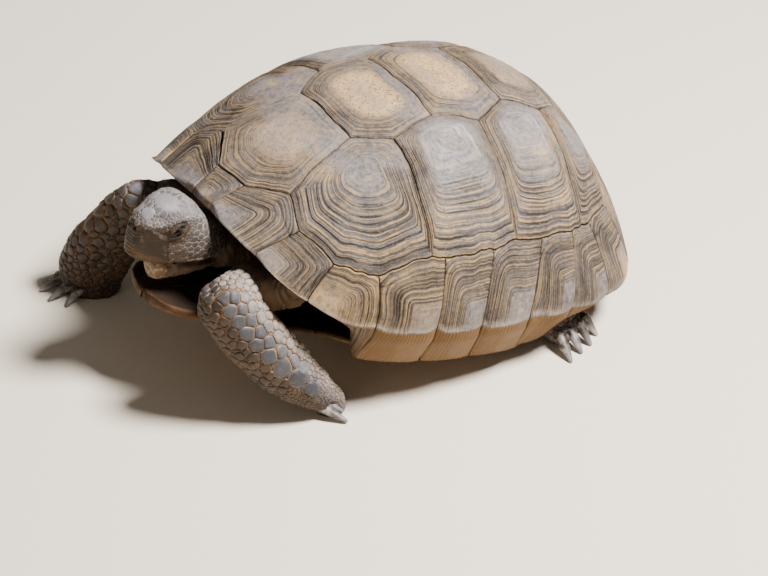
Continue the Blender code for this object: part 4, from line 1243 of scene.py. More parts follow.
def shape_head(p, normal):
    """How the head's features move its points: brow, cheek, lids, beak, mouth and nostrils."""
    x, y, z = p.T
    side = np.abs(x)
    on_head = ramp(-113, -119, y)
    lateral = ramp(3, 8, side)
    lift = np.zeros(len(p))
    over_brow = z - at(BROW, y)
    along_brow = ramp(-169, -164, y) * ramp(-128, -138, y)
    lift += 0.95 * bell(over_brow - 0.3, 1.7) * along_brow * lateral
    lift -= 0.8 * bell(over_brow + 5, 2.8) * ramp(-165, -161, y) * ramp(-152, -156, y)
    lift -= 0.5 * bell(over_brow - 5, 2.5) * along_brow * bell(side - 9, 5)
    lift += 0.7 * bell(y + 129, 8) * bell(z - 50, 7) * lateral
    lift += 0.45 * bell(z - 43.2 + (y + 138) * 0.05, 1.2) * ramp(-146, -141, y) * lateral * on_head
    lift -= 0.7 * bell(z - 38.6, 1.6) * ramp(-145, -139, y) * ramp(-116, -122, y) * lateral
    beak = beak_share(p)
    wave = waves(np.stack([y * 0.4, z, x * 0.3], 1), 7, 301)
    ridges = np.sin(2 * np.pi * (z / 2.1 + 0.35 * wave)) * ramp(41.5, 45, z)
    ridges = ridges + 0.5 * np.sin(2 * np.pi * (z / 0.95 + 0.6 * wave))
    lift += beak * (0.35 + 0.16 * ridges)
    lift += 0.4 * bell(z - at(MOUTH, y) - 2, 1) * beak
    swell = 0.25 * waves(p, 9, 302) + 0.12 * waves(p, 3.5, 303)
    lift += swell * on_head * (1 - beak)
    folds = np.sin(2 * np.pi * (y / 2.7 + 0.5 * waves(p, 9, 304)))
    throat = ramp(35, 31, z) * ramp(-146, -138, y)
    lift += 0.28 * folds * throat
    neck = ramp(-125, -115, y)
    lift += neck * 0.45 * np.sin(2 * np.pi * (y / 4.4 + 0.6 * waves(p, 14, 305)))
    along_slit, across = slit_place(p)
    half = slit_half(along_slit)
    near = ramp(8.5, 6.5, np.abs(along_slit)) * ramp(9, 12, side)
    outside = np.abs(across) - half
    lift += near * 0.38 * bell(outside - 0.75, 0.55) * ramp(6.6, 5, np.abs(along_slit))
    for crease, depth in ((2.1, 0.3), (3.2, 0.42), (4.3, 0.22)):
        upper = ramp(0, 0.6, across)
        lift -= near * depth * bell(outside - crease, 0.28) * upper
        lift -= near * depth * 0.7 * bell(outside - crease * 0.8, 0.25) * (1 - upper)
    gap = np.abs(z - at(MOUTH, y)) - 0.32 - 0.3 * bell(y + 157, 6)
    mouth = ramp(0.35, -0.15, gap) * ramp(-140, -142, y)
    lift -= 1.9 * mouth
    nostril = np.sqrt((side - 2.5) ** 2 + (z - 60.5) ** 2)
    lift -= 1.5 * ramp(1.1, 0.5, nostril) * ramp(-163, -165.5, y)
    lift += 0.3 * bell(nostril - 1.5, 0.5) * ramp(-163, -165.5, y)
    moved = p + normal * lift[:, None]
    back = 11 * np.clip((42.5 - z) / 11.5, 0, 1) ** 1.3
    moved[:, 1] += back * ramp(-148, -165, y) * ramp(15, 9, side)
    eye = np.array(EYE_CENTRE) * np.stack([np.sign(x), np.ones_like(x), np.ones_like(x)], 1)
    way = moved - eye
    way = way / np.maximum(np.linalg.norm(way, axis=1), 1e-6)[:, None]
    opened = ramp(0.22, -0.12, outside) * ramp(10, 12, side) * (np.abs(along_slit) < 6)
    moved = moved + (eye + way * (EYE_RADIUS - 0.55) - moved) * opened[:, None]
    # fair: the top of the head and its upper back, made paler partly as painted light.
    fair = np.maximum(ramp(-3.5, 0.5, over_brow), ramp(-150, -141, y) * ramp(40, 45, z))
    # cheek: the ridge along the cheek's lower edge, which the skin's finish paints pale as a
    # painted highlight.
    cheek = bell(z - 44.3, 1) * ramp(-142, -138, y) * ramp(-114, -120, y) * lateral
    return moved, {"beak": beak, "head": on_head * (1 - beak), "mouth": mouth, "fair": fair,
            "cheek": cheek,
            "cutting": bell(z - at(MOUTH, y) - 4, 2.2), "chin": ramp(39, 36.5, z),
            "lid": near * ramp(6, 4, outside), "socket": opened}


# ---------------------------------------------------------------- the skin


# Rounded lumps that fill the neck's joint and the throat: where each lies and its half sizes.
FILLERS = (((0, -112, 41.5), (14.5, 9, 14)), ((0, -128, 36), (12, 17, 5)))


def flesh_blank():
    """All the flesh in one closed skin of even faces, with rounded lids over the eyes' sockets."""
    body = bmesh.new()
    for node in FLESH:
        part = bmesh.new()
        part.from_mesh(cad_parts[node].data)
        bmesh.ops.remove_doubles(part, verts=part.verts, dist=1e-6)
        mesh = mesh_of(part, "part")
        body.from_mesh(mesh)
        bpy.data.meshes.remove(mesh)
    place = Matrix.Scale(MM, 4) @ shell_matrix()
    for _, side in SIDES:
        centre = Matrix.Translation((side * (EYE_CENTRE[0] - 0.2), *EYE_CENTRE[1:]))
        bmesh.ops.create_icosphere(body, subdivisions=4, radius=EYE_RADIUS + LID_THICKNESS,
                matrix=place @ centre)
    for middle, size in FILLERS:
        filler = place @ Matrix.Translation(middle) @ Matrix.Diagonal((*size, 1))
        bmesh.ops.create_icosphere(body, subdivisions=4, radius=1, matrix=filler)
    thing = placed("flesh", mesh_of(body, "flesh"))
    remesh = thing.modifiers.new("even", "REMESH")
    remesh.mode = "VOXEL"
    remesh.voxel_size = settings("skin").grain
    smooth = thing.modifiers.new("smooth", "SMOOTH")
    smooth.factor, smooth.iterations = 0.5, 7
    return evaluated(thing, "skin")


def limb_shape(p):
    """Lift of the skin in the folds of the limbs, and the share of each point that is limb."""
    lift, share_ = np.zeros(len(p)), np.zeros(len(p))
    for name, limb in LIMBS.items():
        run, _, distance = limb.measure(p)
        on = ramp(26, 20, distance)
        if not name.startswith("fore"):
            on = on * ramp(-1, 3, run)
        share_ = np.maximum(share_, on)
        if name.startswith("hind") or name == "tail":
            lift += on * 0.3 * waves(p, 10, 321)
        else:
            wrist = bell(run - 84, 4)
            lift += on * (0.35 * waves(p, 12, 322) - 0.6 * wrist)
    return lift, share_


def drawn_in(points):
    """Draws the skin of the toes into their claws, so that none shows through the horn."""
    points = points.copy()
    for root, way, size in (claw for claws in CLAWS.values() for claw in claws):
        way = np.array(way) / np.linalg.norm(way)
        run = (points - root) @ way
        off = points - root - run[:, None] * way
        share_ = ramp(1, 3.5, run) * ramp(size + 3.5, size + 2, run)
        share_ = share_ * ramp(4.8, 3.9, np.linalg.norm(off, axis=1))
        points -= share_[:, None] * (off * 0.4 + way * (run * 0.16)[:, None])
    return points


def refine(mesh, picks):
    """Splits the faces near the picked places, once for each pick."""
    body = bmesh.new()
    body.from_mesh(mesh)
    for pick in picks:
        points = np.array([vert.co for vert in body.verts]) / MM
        chosen = pick(points)
        body.verts.ensure_lookup_table()
        edges = [edge for edge in body.edges if chosen[edge.verts[0].index]
                and chosen[edge.verts[1].index]]
        bmesh.ops.subdivide_edges(body, edges=edges, cuts=1, use_grid_fill=True)
        body.verts.index_update()
    bmesh.ops.triangulate(body, faces=[face for face in body.faces if len(face.verts) > 4])
    body.to_mesh(mesh)
    body.free()


def build_skin():
    """The one skin: thinned where the shell hides it, refined on the head, sunk and shaped."""
    look = settings("skin")
    shell, ground = shell_matrix(), ground_matrix()
    to_shell, to_ground = shell.inverted(), ground.inverted()
    mesh = flesh_blank()
    thing = placed("skin", mesh)
    p = moved_by(to_shell, vertex_array(mesh) / MM)
    g = moved_by(to_ground, vertex_array(mesh) / MM)
    _, limbs = limb_shape(g)
    inside = (p[:, 2] > 26) & (p[:, 1] > -92) & (limbs < 0.3)
    inside |= (limbs < 0.3) & (np.abs(p[:, 0]) < 62) & (p[:, 1] > -88) & (p[:, 1] < 84)
    group = thing.vertex_groups.new(name="hidden")
    group.add([int(k) for k in np.flatnonzero(inside)], 1, "REPLACE")
    thin = thing.modifiers.new("thin", "DECIMATE")
    thin.ratio = 1 - 0.94 * float(inside.mean())
    thin.vertex_group = "hidden"
    mesh = evaluated(thing, "skin")

    def on_head(points):
        q = moved_by(to_shell, points)
        return (q[:, 1] < -117) & (q[:, 2] > 20) & (np.abs(q[:, 0]) < 24)

    def fine(points):
        q = moved_by(to_shell, points)
        along_slit, across = slit_place(q)
        eyes = (np.abs(along_slit) < 8.5) & (np.abs(across) < 6.5) & (np.abs(q[:, 0]) > 8)
        mouth = (np.abs(q[:, 2] - at(MOUTH, q[:, 1])) < 2.4) & (q[:, 1] < -138)
        nose = (q[:, 1] < -163) & (np.abs(q[:, 2] - 60.5) < 4) & (np.abs(q[:, 0]) < 6)
        return (eyes | mouth | nose) & (np.abs(q[:, 0]) < 24) & (q[:, 1] < -117)

    refine(mesh, (on_head, fine))
    world = vertex_array(mesh) / MM
    normal = vertex_array(mesh, "vector", mesh.vertex_normals)
    g = moved_by(to_ground, world)
    lift, limbs = limb_shape(g)
    p = moved_by(to_shell, world)
    turned = normal @ np.array(to_shell)[:3, :3].T
    shaped, masks = shape_head(p, turned)
    head_part = ramp(-100, -112, p[:, 1]) * ramp(26, 23, np.abs(p[:, 0])) * (p[:, 2] > 18)
    limbs = limbs * (1 - head_part)
    masks = {key: value * head_part for key, value in masks.items()}
    sunk = look.leg_coat / MM * limbs + look.head_coat / MM * masks["head"]
    sunk = sunk * (1 - np.maximum(masks["lid"], masks["socket"]))
    folds = np.sin(2 * np.pi * (waves(p, 30, 331) * 2 + p[:, 1] / 4.2 + np.abs(p[:, 0]) / 6.5))
    bare = (1 - limbs) * (1 - ramp(-100, -112, p[:, 1]))
    place = moved_by(shell, p + (shaped - p) * head_part[:, None])
    place = place + normal * (lift - sunk + bare * (0.55 * folds - 0.5))[:, None]
    place = moved_by(ground, drawn_in(moved_by(to_ground, place)))
    sole = ramp(1.2, 0.4, world[:, 2])
    place[:, 2] += (np.maximum(world[:, 2], 0) - place[:, 2]) * sole
    place[:, 2] = np.maximum(place[:, 2], 0)
    set_points(mesh, place * MM)
    set_facts(mesh, {**masks, "limb": limbs, "folds": (folds * 0.5 + 0.5) * bare})
    mesh.shade_smooth()
    mesh.update()
    return mesh


def hide_finish():
    """Bare skin: brown in the folds, ochre between scales, pale on the head, and the beak."""
    look = settings("skin")
    f = Finish("skin", roughness=0.75, specular=0.3)
    beak, head, limb, mouth, lid = f.facts("beak", "head", "limb", "mouth", "lid")
    folds, fair, cheek = f.facts("folds", "fair", "cheek")
    clouds, dust, grain = f.noise(60, 4), f.noise(160, 5, 0.65), f.noise(1500, 3)
    pebbles = f.cells(900)
    base = f.over(look.brown, SHADE["hide"], clouds.above(0.35, 0.7) * 0.6)
    bare = f.over(SHADE["fold_pale"], SHADE["fold_dark"], clouds.above(0.35, 0.65) * 0.8)
    base = f.over(base, bare, folds.above(0.2, 0.8) * 0.8)
    netting = f.mix(clouds.above(0.36, 0.62), SHADE["net"], look.ochre)
    base = f.mix(limb, base, netting)
    skull = f.mix(dust.above(0.4, 0.7), SHADE["skull_dark"], SHADE["skull_pale"])
    # Paler between the plates on top than below the brow: partly painted light on the lit top.
    edging = f.mix(fair.above(0.55, 0.95), SHADE["skull_edge"], look.pale)
    skull = f.over(skull, edging, fair * (0.25 + dust.above(0.4, 0.65) * 0.45))
    # Painted highlight: a pale line where the cheek's lower edge catches the light.
    skull = f.over(skull, SHADE["cheek_line_painted_highlight"], cheek * 0.9)
    base = f.mix(head, base, skull)
    eyelid = f.mix(clouds.above(0.4, 0.6), SHADE["lid"], SHADE["lid_dark"])
    base = f.over(base, eyelid, lid * 0.95)
    # Painted shade: the socket round the eyeball is near black.
    base = f.mix(f.fact("socket").above(0.02, 0.35), base, SHADE["socket"])
    height = f.node("ShaderNodeSeparateXYZ", {}, {"Vector": f.place}, 2)
    streaks = f.line_noise(height + clouds * 0.004, 900, 3, 0.7)
    # The beak's horn is partly painted shade, darkened to near black for the shaded face.
    keratin = f.mix(streaks.above(0.4, 0.65), look.beak, SHADE["beak_streak"])
    keratin = f.over(keratin, look.edge, clouds.above(0.5, 0.7) * 0.25)
    keratin = f.over(keratin, SHADE["beak_dust"], dust.above(0.5, 0.7) * 0.2)
    keratin = f.over(keratin, look.edge, f.fact("cutting") * (0.25 + clouds * 0.6))
    dots = f.mix(f.cells(360).above(0.3, 0.5), SHADE["chin"], SHADE["chin_dark"])
    keratin = f.over(keratin, dots, f.fact("chin") * 0.9)
    base = f.mix(beak, base, keratin)
    # Painted shade: the mouth's groove is near black.
    base = f.over(base, SHADE["mouth"], mouth * 0.95)
    base = f.over(base, look.pale, dust.above(0.58, 0.75) * 0.2)
    normal = f.relief(pebbles, 0.00016)
    normal = f.relief(grain, 0.0001, normal)
    rough = 0.72 - beak * 0.25 + dust * 0.12
    return f.done(base, rough, normal)


class TORTOISE_OT_skin(bpy.types.Operator):
    """Makes the one skin over head, neck, body, legs and tail"""

    bl_idname = "tortoise.skin"
    bl_label = "Skin"

    def execute(self, context):
        mesh = build_skin()
        mesh.materials.clear()
        mesh.materials.append(hide_finish())
        piece = placed("skin", mesh)
        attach(piece, "root")
        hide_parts(*FLESH)
        return {"FINISHED"}


# ---------------------------------------------------------------- scales

# Rows of large scales on the forelegs, as run along the limb, angle round it and size.
LEFT_ROWS = (
    [(0.3, 66, 5.6), (0.6, 112, 5.6)]
    + [(t, 92, 8.4) for t in (2.6, 10.6, 19.2, 28.2, 37.8)]
    + [(48.5, 90, 9.4), (60, 86, 10.6), (72.5, 82, 11), (84, 80, 8.4)]
    + [(t, 68, 7.6) for t in (5.2, 14.2, 23.2, 32.6, 42.6)]
    + [(52.5, 64, 8), (62.5, 58, 7.6), (71.5, 52, 6.6)]
    + [(t, 46, 6.8) for t in (0.8, 9.4, 18, 26.6, 35.4, 44.6)]
    + [(54, 36, 6.4), (63, 34, 5.8)]
    + [(t, 118, 6.2) for t in (5, 14, 23, 32.5, 42.5, 53, 64)]
)
RIGHT_ROWS = (
    (2, 172, 9.5), (6.5, 147, 8.5), (0.5, -152, 9), (12.5, -166, 8), (16.5, 162, 6.5),
    (22, -178, 7.5), (25, 152, 6.8), (18, 137, 6.5), (31, 168, 7.5), (36.5, 144, 8.5),
    (33, 118, 7.5), (43, 160, 7), (46.5, 126, 7), (52, 148, 7), (42, 98, 7),
    (56, 108, 6.5), (60, 132, 6.5), (54, 74, 6), (66, 92, 6), (62, 160, 6),
)
# Plates of the head, in the shell's frame: place from above, and size.
CROWN_PLATES = (
    (4.4, -150.4, 15), (-4.6, -162.4, 7), (3.6, -162, 7.2), (-6.2, -153.5, 7.6), (-9.6, -146.5, 6),
    (-3.4, -139.6, 7.6), (4.6, -137.6, 7.4), (11.2, -138.4, 5.6), (-10.2, -138, 6),
    (0.8, -130, 7.2),
    (8.6, -130.4, 6), (-7.6, -130, 6), (10.2, -143.8, 4.4),
)


def foreleg_size(run, angle):
    inner = (angle < -95) | (angle > 150)
    size = np.where(inner, 4.8, 4.2)
    size = np.where((angle > 104) & (angle <= 150), 5.4, size)
    size = np.where((angle > -40) & (angle <= 40), 4.4, size)
    size = np.where(run > 72, np.where(angle > 95, 2.7, 3), size)
    size = np.where(run > 86, 2.4, size)
    return np.where(run < 0.8, 4.6, size)


def right_foreleg_size(run, angle):
    front = (angle > 30) | (angle < -150)
    size = np.where(front, 5.6, 4.2)
    size = np.where(run > 66, np.where(front, 4.6, 3.6), size)
    size = np.where(run > 82, 3.6, size)
    return np.where(run < 0.8, 4.8, size)


def hind_leg_size(run, angle):
    return np.where(run > 40, 4.2, 3.4)


def tail_size(run, angle):
    return np.full(len(run), 2.6)


def head_size(p):
    """The size of the head's plates over its points, in the shell's frame; 0 where it is bare."""
    side, y, z = np.abs(p[:, 0]), p[:, 1], p[:, 2]
    size = np.where(z > at(BROW, y) + 1.5, 3.9, 3.3)
    size = np.where((z > at(BROW, y) - 1.2) & (z < at(BROW, y) + 4.2) & (side > 3) & (y < -136),
            2.1, size)
    size = np.where(y < -161.5, 2.5, size)
    size = np.where(y > -124, 2.6, size)
    size = np.where(z < 37.5, 2.3, size)
    along_slit, across = slit_place(p)
    reach = np.hypot(np.clip(np.abs(along_slit) - SLIT_HALF_LENGTH, 0, None),
            np.abs(across) - slit_half(along_slit))
    size = np.where((side > 9) & (reach < 6.5), 1.9, size)
    bare = (beak_share(p) > 0.25) | ((side > 9) & (reach < 4.3) & (np.abs(along_slit) < 8))
    bare |= (np.abs(z - at(MOUTH, y)) < 1.6) & (y < -137)
    bare |= (y > -117.5) | (z < 27) | ((z < 41.5)
            & (y > -150)) | (bell(z - 44.3, 1) > 0.45) & (y > -140)
    return np.where(bare, 0, size)


# How close two scales may stand, as a share of their size, the boxes in which neighbours are looked
# for, how many neighbours shape a scale, and how square its corners are.
SPREAD, CELL, NEIGHBOURS, SQUARENESS = 0.84, 12, 11, 14


def scattered(places, sizes, fixed, seed):
    """The fixed places and random ones, none nearer to another than their sizes allow."""
    rng = np.random.default_rng(seed)
    kept, kept_size, boxes = [], [], {}

    def home(place):
        return tuple(int(v) for v in place // CELL)

    def free(place, size):
        x, y, z = home(place)
        for dx, dy, dz in itertools.product((-1, 0, 1), repeat=3):
            for k in boxes.get((x + dx, y + dy, z + dz), ()):
                away = place - kept[k]
                if away.dot(away) < (SPREAD * 0.5 * (size + kept_size[k])) ** 2:
                    return False
        return True

    def keep(place, size):
        boxes.setdefault(home(place), []).append(len(kept))
        kept.append(place)
        kept_size.append(size)

    for place, size in fixed:
        keep(np.array(place, float), size)
    for k in rng.permutation(len(places)):
        if sizes[k] > 0 and free(places[k], sizes[k]):
            keep(places[k], sizes[k])
    return np.array(kept), np.array(kept_size), len(fixed)


def point_finder(places):
    finder = KDTree(len(places))
    for k, place in enumerate(places):
        finder.insert(place, k)
    finder.balance()
    return finder


def nearest(tree, points):
    """The skin's nearest place to each point."""
    return np.array([tree.find_nearest(Vector(point))[0] for point in points])


def settled(places, sizes, held, tree, rounds=5):
    """Pushes the places apart until they lie evenly, keeping the first ones where they are."""
    for _ in range(rounds):
        finder = point_finder(places)
        moved = places.copy()
        for k in range(held, len(places)):
            push = np.zeros(3)
            for other, index, distance in finder.find_range(places[k], sizes[k] * 1.7):
                want = 0.55 * (sizes[k] + sizes[index])
                if index != k and distance < want:
                    push += (places[k] - np.array(other)) * ((want - distance)
                            / max(distance, 0.1)) * 0.35
            moved[k] = tree.find_nearest(Vector(places[k] + push))[0]
        places = moved
    return places


# A scale from the middle of its foot round to its top, as shares of its reach and its height.
SCALE_PROFILE = ((0, -1), (1, -1), (1, 0.3), (0.86, 0.82), (0.55, 1), (0, 1.06))


def scale_blanks(count, columns):
    """Closed little domes, one after another: a grid closed into a cap and repeated by an array."""
    rows = len(SCALE_PROFILE)
    body = bmesh.new()
    bmesh.ops.create_grid(body, x_segments=columns, y_segments=rows - 1, size=1)
    ring_fact = body.verts.layers.float.new("ring")
    turn_fact = body.verts.layers.float.new("turn")
    for vert in body.verts:
        ring = round((vert.co.y + 1) / 2 * (rows - 1))
        turn = round((vert.co.x + 1) / 2 * columns) % columns
        vert[ring_fact], vert[turn_fact] = ring, turn
        reach, height = SCALE_PROFILE[ring]
        angle = 2 * math.pi * turn / columns
        vert.co = (reach * math.cos(angle), reach * math.sin(angle), height)
    bmesh.ops.remove_doubles(body, verts=body.verts, dist=1e-5)
    bmesh.ops.recalc_face_normals(body, faces=body.faces)
    one = len(body.verts)
    thing = placed("scale", mesh_of(body, "scale"))
    many = thing.modifiers.new("many", "ARRAY")
    many.count = count
    many.use_relative_offset = False
    many.use_constant_offset = True
    many.constant_offset_displace = (4, 0, 0)
    mesh = evaluated(thing, "scales")
    facts = []
    for key in ("ring", "turn"):
        values = np.empty(len(mesh.vertices), np.float32)
        mesh.attributes[key].data.foreach_get("value", values)
        facts.append(np.rint(values).astype(int))
        mesh.attributes.remove(mesh.attributes[key])
    return mesh, facts[0], facts[1], np.arange(len(mesh.vertices)) // one


def coat(name, places, sizes, tree, unwrap, height_of, marks_of, material, gap, seed, columns,
        tilt=None):
    """A coat of scales on the skin: a rounded, domed cell for each place, sunk into the skin.

    unwrap gives each place's spot on the skin's own unwrap, height_of each scale's height from its
    size, and marks_of the numbers that its colour follows.
    """
    count = len(places)
    rng = np.random.default_rng(seed)
    finder = point_finder(places)
    normals = np.array([tree.find_nearest(Vector(place))[1] for place in places])
    helper = np.where(np.abs(normals[:, 2:3]) < 0.8, (0, 0, 1), (1, 0, 0))
    first = np.cross(helper, normals)
    first /= np.linalg.norm(first, axis=1)[:, None]
    second = np.cross(normals, first)
    angles = 2 * np.pi * np.arange(columns) / columns
    reach = np.zeros((count, columns))
    for k in range(count):
        near = [item[1] for item in finder.find_n(places[k], NEIGHBOURS) if item[1] != k]
        off = places[near] - places[k]
        flat = np.stack([off @ first[k], off @ second[k]], axis=1)
        distance = np.maximum(np.linalg.norm(off, axis=1), 0.3)
        bound = distance / 2 + (sizes[k] ** 2 - sizes[near] ** 2) / (2 * distance) * 0.35 - gap / 2
        bound = np.clip(bound, 0.25 * sizes[k], 0.82 * sizes[k])
        facing = np.cos(angles[:, None] - np.arctan2(flat[:, 1], flat[:, 0])[None, :])
        closeness = np.clip(facing, 0, None) / bound
        closeness = np.sum(closeness**SQUARENESS, axis=1)
        reach[k] = np.maximum(closeness, 1e-30) ** (-1 / SQUARENESS)
    reach = np.minimum(reach, 0.86 * sizes[:, None])
    mesh, ring, turn, which = scale_blanks(count, columns)
    out = reach[..., None] * np.stack([np.cos(angles), np.sin(angles)], axis=1)[None, :, :]
    rim = places[:, None, :] + out[..., :1] * first[:, None, :] + out[..., 1:] * second[:, None, :]
    onto = nearest(tree, rim.reshape(-1, 3)).reshape(rim.shape)
    height = height_of(sizes) * rng.uniform(0.85, 1.12, count)
    share_, lift = (np.array([row[axis] for row in SCALE_PROFILE]) for axis in (0, 1))
    base = places[which] + (onto[which, turn] - places[which]) * share_[ring][:, None]
    broad = (sizes[which] > 5) & (share_[ring] > 0) & (share_[ring] < 1)
    if broad.any():
        base[broad] = nearest(tree, base[broad])
    lean = 0
    if tilt is not None:
        lean = np.sum((onto[which, turn] - places[which]) * tilt(places)[which],
                axis=1) * share_[ring] * 0.05
        lean = lean * (lift[ring] > 0)
    rise = np.where(lift[ring] > 0, lift[ring] * height[which] + lean, lift[ring] * 0.45)
    spots = base + normals[which] * rise[:, None]
    spots[:, 2] = np.maximum(spots[:, 2], 0)
    set_points(mesh, spots * MM)
    edge = np.where(lift[ring] > 0, share_[ring], 1)
    marks = {key: np.asarray(values)[which] for key, values in marks_of(places, sizes, rng).items()}
    set_facts(mesh, {**marks, "rim": edge})
    spot = unwrap(places)[which] + 0.0015 * (out[which, turn]
            / (0.86 * sizes[which])[:, None]) * edge[:, None]
    corners = np.empty(len(mesh.loops), np.int32)
    mesh.loops.foreach_get("vertex_index", corners)
    sheet = mesh.uv_layers.new(name="OFBake")
    sheet.data.foreach_set("uv", spot[corners].astype(np.float32).ravel())
    mesh.shade_smooth()
    mesh.materials.append(material)
    piece = placed(name, mesh)
    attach(piece, "root")
    return piece


def skin_surface():
    """The skin in millimetres as a search tree, with its faces' middles and areas."""
    mesh = bpy.data.objects["skin"].data
    points = vertex_array(mesh) / MM
    faces = [tuple(face.vertices) for face in mesh.polygons]
    middles = np.empty(len(faces) * 3, np.float32)
    areas = np.empty(len(faces), np.float32)
    mesh.polygons.foreach_get("center", middles)
    mesh.polygons.foreach_get("area", areas)
    tree = BVHTree.FromPolygons([tuple(point) for point in points], faces)
    return tree, middles.reshape(-1, 3).astype(float) / MM, areas.astype(float) / MM**2


def spread_over(middles, areas, sizes, tree, fixed, seed):
    """Settled places over the faces that want scales, denser where the scales are small."""
    rng = np.random.default_rng(seed)
    want = np.where(sizes > 0, areas / np.maximum(sizes, 0.5) ** 2, 0)
    picks = rng.choice(len(middles), size=int(want.sum() * 16), p=want / want.sum())
    spots = middles[picks] + rng.normal(scale=0.25, size=(len(picks), 3))
    spots = nearest(tree, spots)
    places, kept, held = scattered(spots, sizes[picks], fixed, seed)
    places = settled(places, kept, held, tree)
    places, kept, _ = scattered(spots, sizes[picks] * 0.5, list(zip(places, kept)), seed)
    return places, kept


class TORTOISE_OT_leg_scales(bpy.types.Operator):
    """Covers the legs and the tail with scales"""

    bl_idname = "tortoise.leg_scales"
    bl_label = "Leg and Tail Scales"

    def execute(self, context):
        tree, middles, areas = skin_surface()
        ground = ground_matrix()
        to_ground = ground.inverted()
        local = moved_by(to_ground, middles)
        rules = {
            "foreleg_left": (foreleg_size, LEFT_ROWS, 0.9),
            "foreleg_right": (right_foreleg_size, RIGHT_ROWS, 0.75),
            "hindleg_left": (hind_leg_size, (), 0.35),
            "hindleg_right": (hind_leg_size, (), 0.35),
            "tail": (tail_size, (), 0.2),
        }

        def height_of(size):
            return settings("scales").relief / MM * np.clip(size / 6, 0.35, 1.15)

        for number, (name, (size_rule, rows, slatey)) in enumerate(rules.items()):
            limb = LIMBS[name]
            run, angle, distance = limb.measure(local)
            whole = limb.length()
            sizes = size_rule(run, angle)
            reach = {"tail": 11}.get(name, 24)
            if name.startswith("fore"):
                reach = np.where(run < 55, 16.5, 24)
            away = distance < reach
            for other, path in LIMBS.items():
                if other != name:
                    away &= distance <= path.measure(local)[2]
            away &= middles[:, 2] > 0.7
            if name.startswith("fore"):
                away &= (run >= 1) | (distance <= 11.5)
            else:
                away &= run > (12 if name.startswith("hind") else 16)
            sizes = np.where(away, sizes, 0)
            fixed = []
            for t, turn, size in rows:
                start, way = limb.ray(t, turn)
                spot = tree.ray_cast(Vector(moved_by(ground, start[None, :])[0]), Vector(way))[0]
                if spot is not None:
                    fixed.append((spot, size))
            places, kept = spread_over(middles, areas, sizes, tree, fixed,
                    SEEDS["leg_places"] + number)

            def unwrap(points, limb=limb, whole=whole):
                r, a, _ = limb.measure(moved_by(to_ground, points))
                return np.stack([0.02 + 0.96 * (a / 360 + 0.5),
                        0.02 + 0.96 * np.clip(r / whole, 0, 1)], 1)

            def marks_of(points, size, rng, limb=limb, name=name, slatey=slatey):
                r, a, d = limb.measure(moved_by(to_ground, points))
                dusty = np.clip(0.5 + 0.45 * waves(points, 18, 61), 0, 1)
                if name == "foreleg_left":
                    slate = ramp(112, 100, a) * ramp(-60, 20, a)
                    # Painted shade: lit is 0 on the upper arm behind the elbow, so those scales
                    # lose slate and dust and turn dark brown.
                    lit = np.where(r < 0.6, ramp(11.5, 10, d), 1)
                    slate = np.maximum(slate, ramp(3, 0.5, r) * 0.8) * lit
                    dusty = np.clip(ramp(88, 30, a) * ramp(-120, -40, a) * 0.9, 0, 1)
                    dusty = dusty * lit
                elif name == "foreleg_right":
                    slate = ramp(26, 6, r) * (size > 5.5)
                    dusty = ramp(20, 0, r) * 0.5
                else:
                    slate = 0.35 + 0 * r
                    dusty = dusty * 0.5
                return {"slate": slate * slatey, "dusty": dusty,
                        "tone": rng.uniform(size=len(size)),
                        "large": ramp(3, 6, size)}

            def tilt(points, limb=limb):
                ahead = limb.centres[-1] - limb.centres[0]
                return np.broadcast_to(ahead / np.linalg.norm(ahead), (len(points), 3))

            coat(f"scales_{name}", places, kept, tree, unwrap, height_of, marks_of, leg_scale(),
                    settings("scales").gap / MM, SEEDS["leg_coat"] + number, 12, tilt)
        return {"FINISHED"}


def leg_scale():
    """Horny leg scales: slate blue, dark brown and dusty ones, each with a pale worn rim; the dark
    brown is partly painted shade.
    """
    found = bpy.data.materials.get("leg_scale")
    if found:
        return found
    look = settings("scales")
    f = Finish("leg_scale", specular=0.35)
    rim, slate, dusty, tone, large = f.facts("rim", "slate", "dusty", "tone", "large")
    clouds, dust, grain = f.noise(90, 4), f.noise(260, 5, 0.65), f.noise(1400, 3)
    rings = f.line_noise(rim + tone * 9 + clouds * 0.1, 9, 2, 0.5)
    # Scales without slate take the dark brown that is partly painted shade.
    base = f.mix(slate, f.over(look.umber_and_shade, SHADE["umber_pale_and_shade"], clouds.above(0.4, 0.65) * 0.8),
            look.slate)
    base = f.over(base, SHADE["scale_grey"], tone * slate * 0.25)
    lilac = f.mix(dusty.above(0.45, 0.95), SHADE["lilac"], look.dust)
    base = f.over(base, lilac, dusty * (0.45 + dust.above(0.35, 0.7) * 0.5))
    worn = rim.above(0.8, 1)
    pale = f.mix(slate, settings("skin").ochre, SHADE["scale_edge"])
    base = f.over(base, pale, worn * (0.15 + clouds.above(0.35, 0.65) * 0.6))
    base = f.over(base, SHADE["scale_ring"], rings.above(0.5, 0.7) * large * 0.3)
    base = f.over(base, SHADE["scale_dust"], dust.above(0.52, 0.72) * (0.08 + slate * 0.14))
    normal = f.relief(rings, 0.00014)
    normal = f.relief(grain, 0.00008, normal)
    return f.done(base, 0.4 + dusty * 0.25 + dust * 0.15, normal)


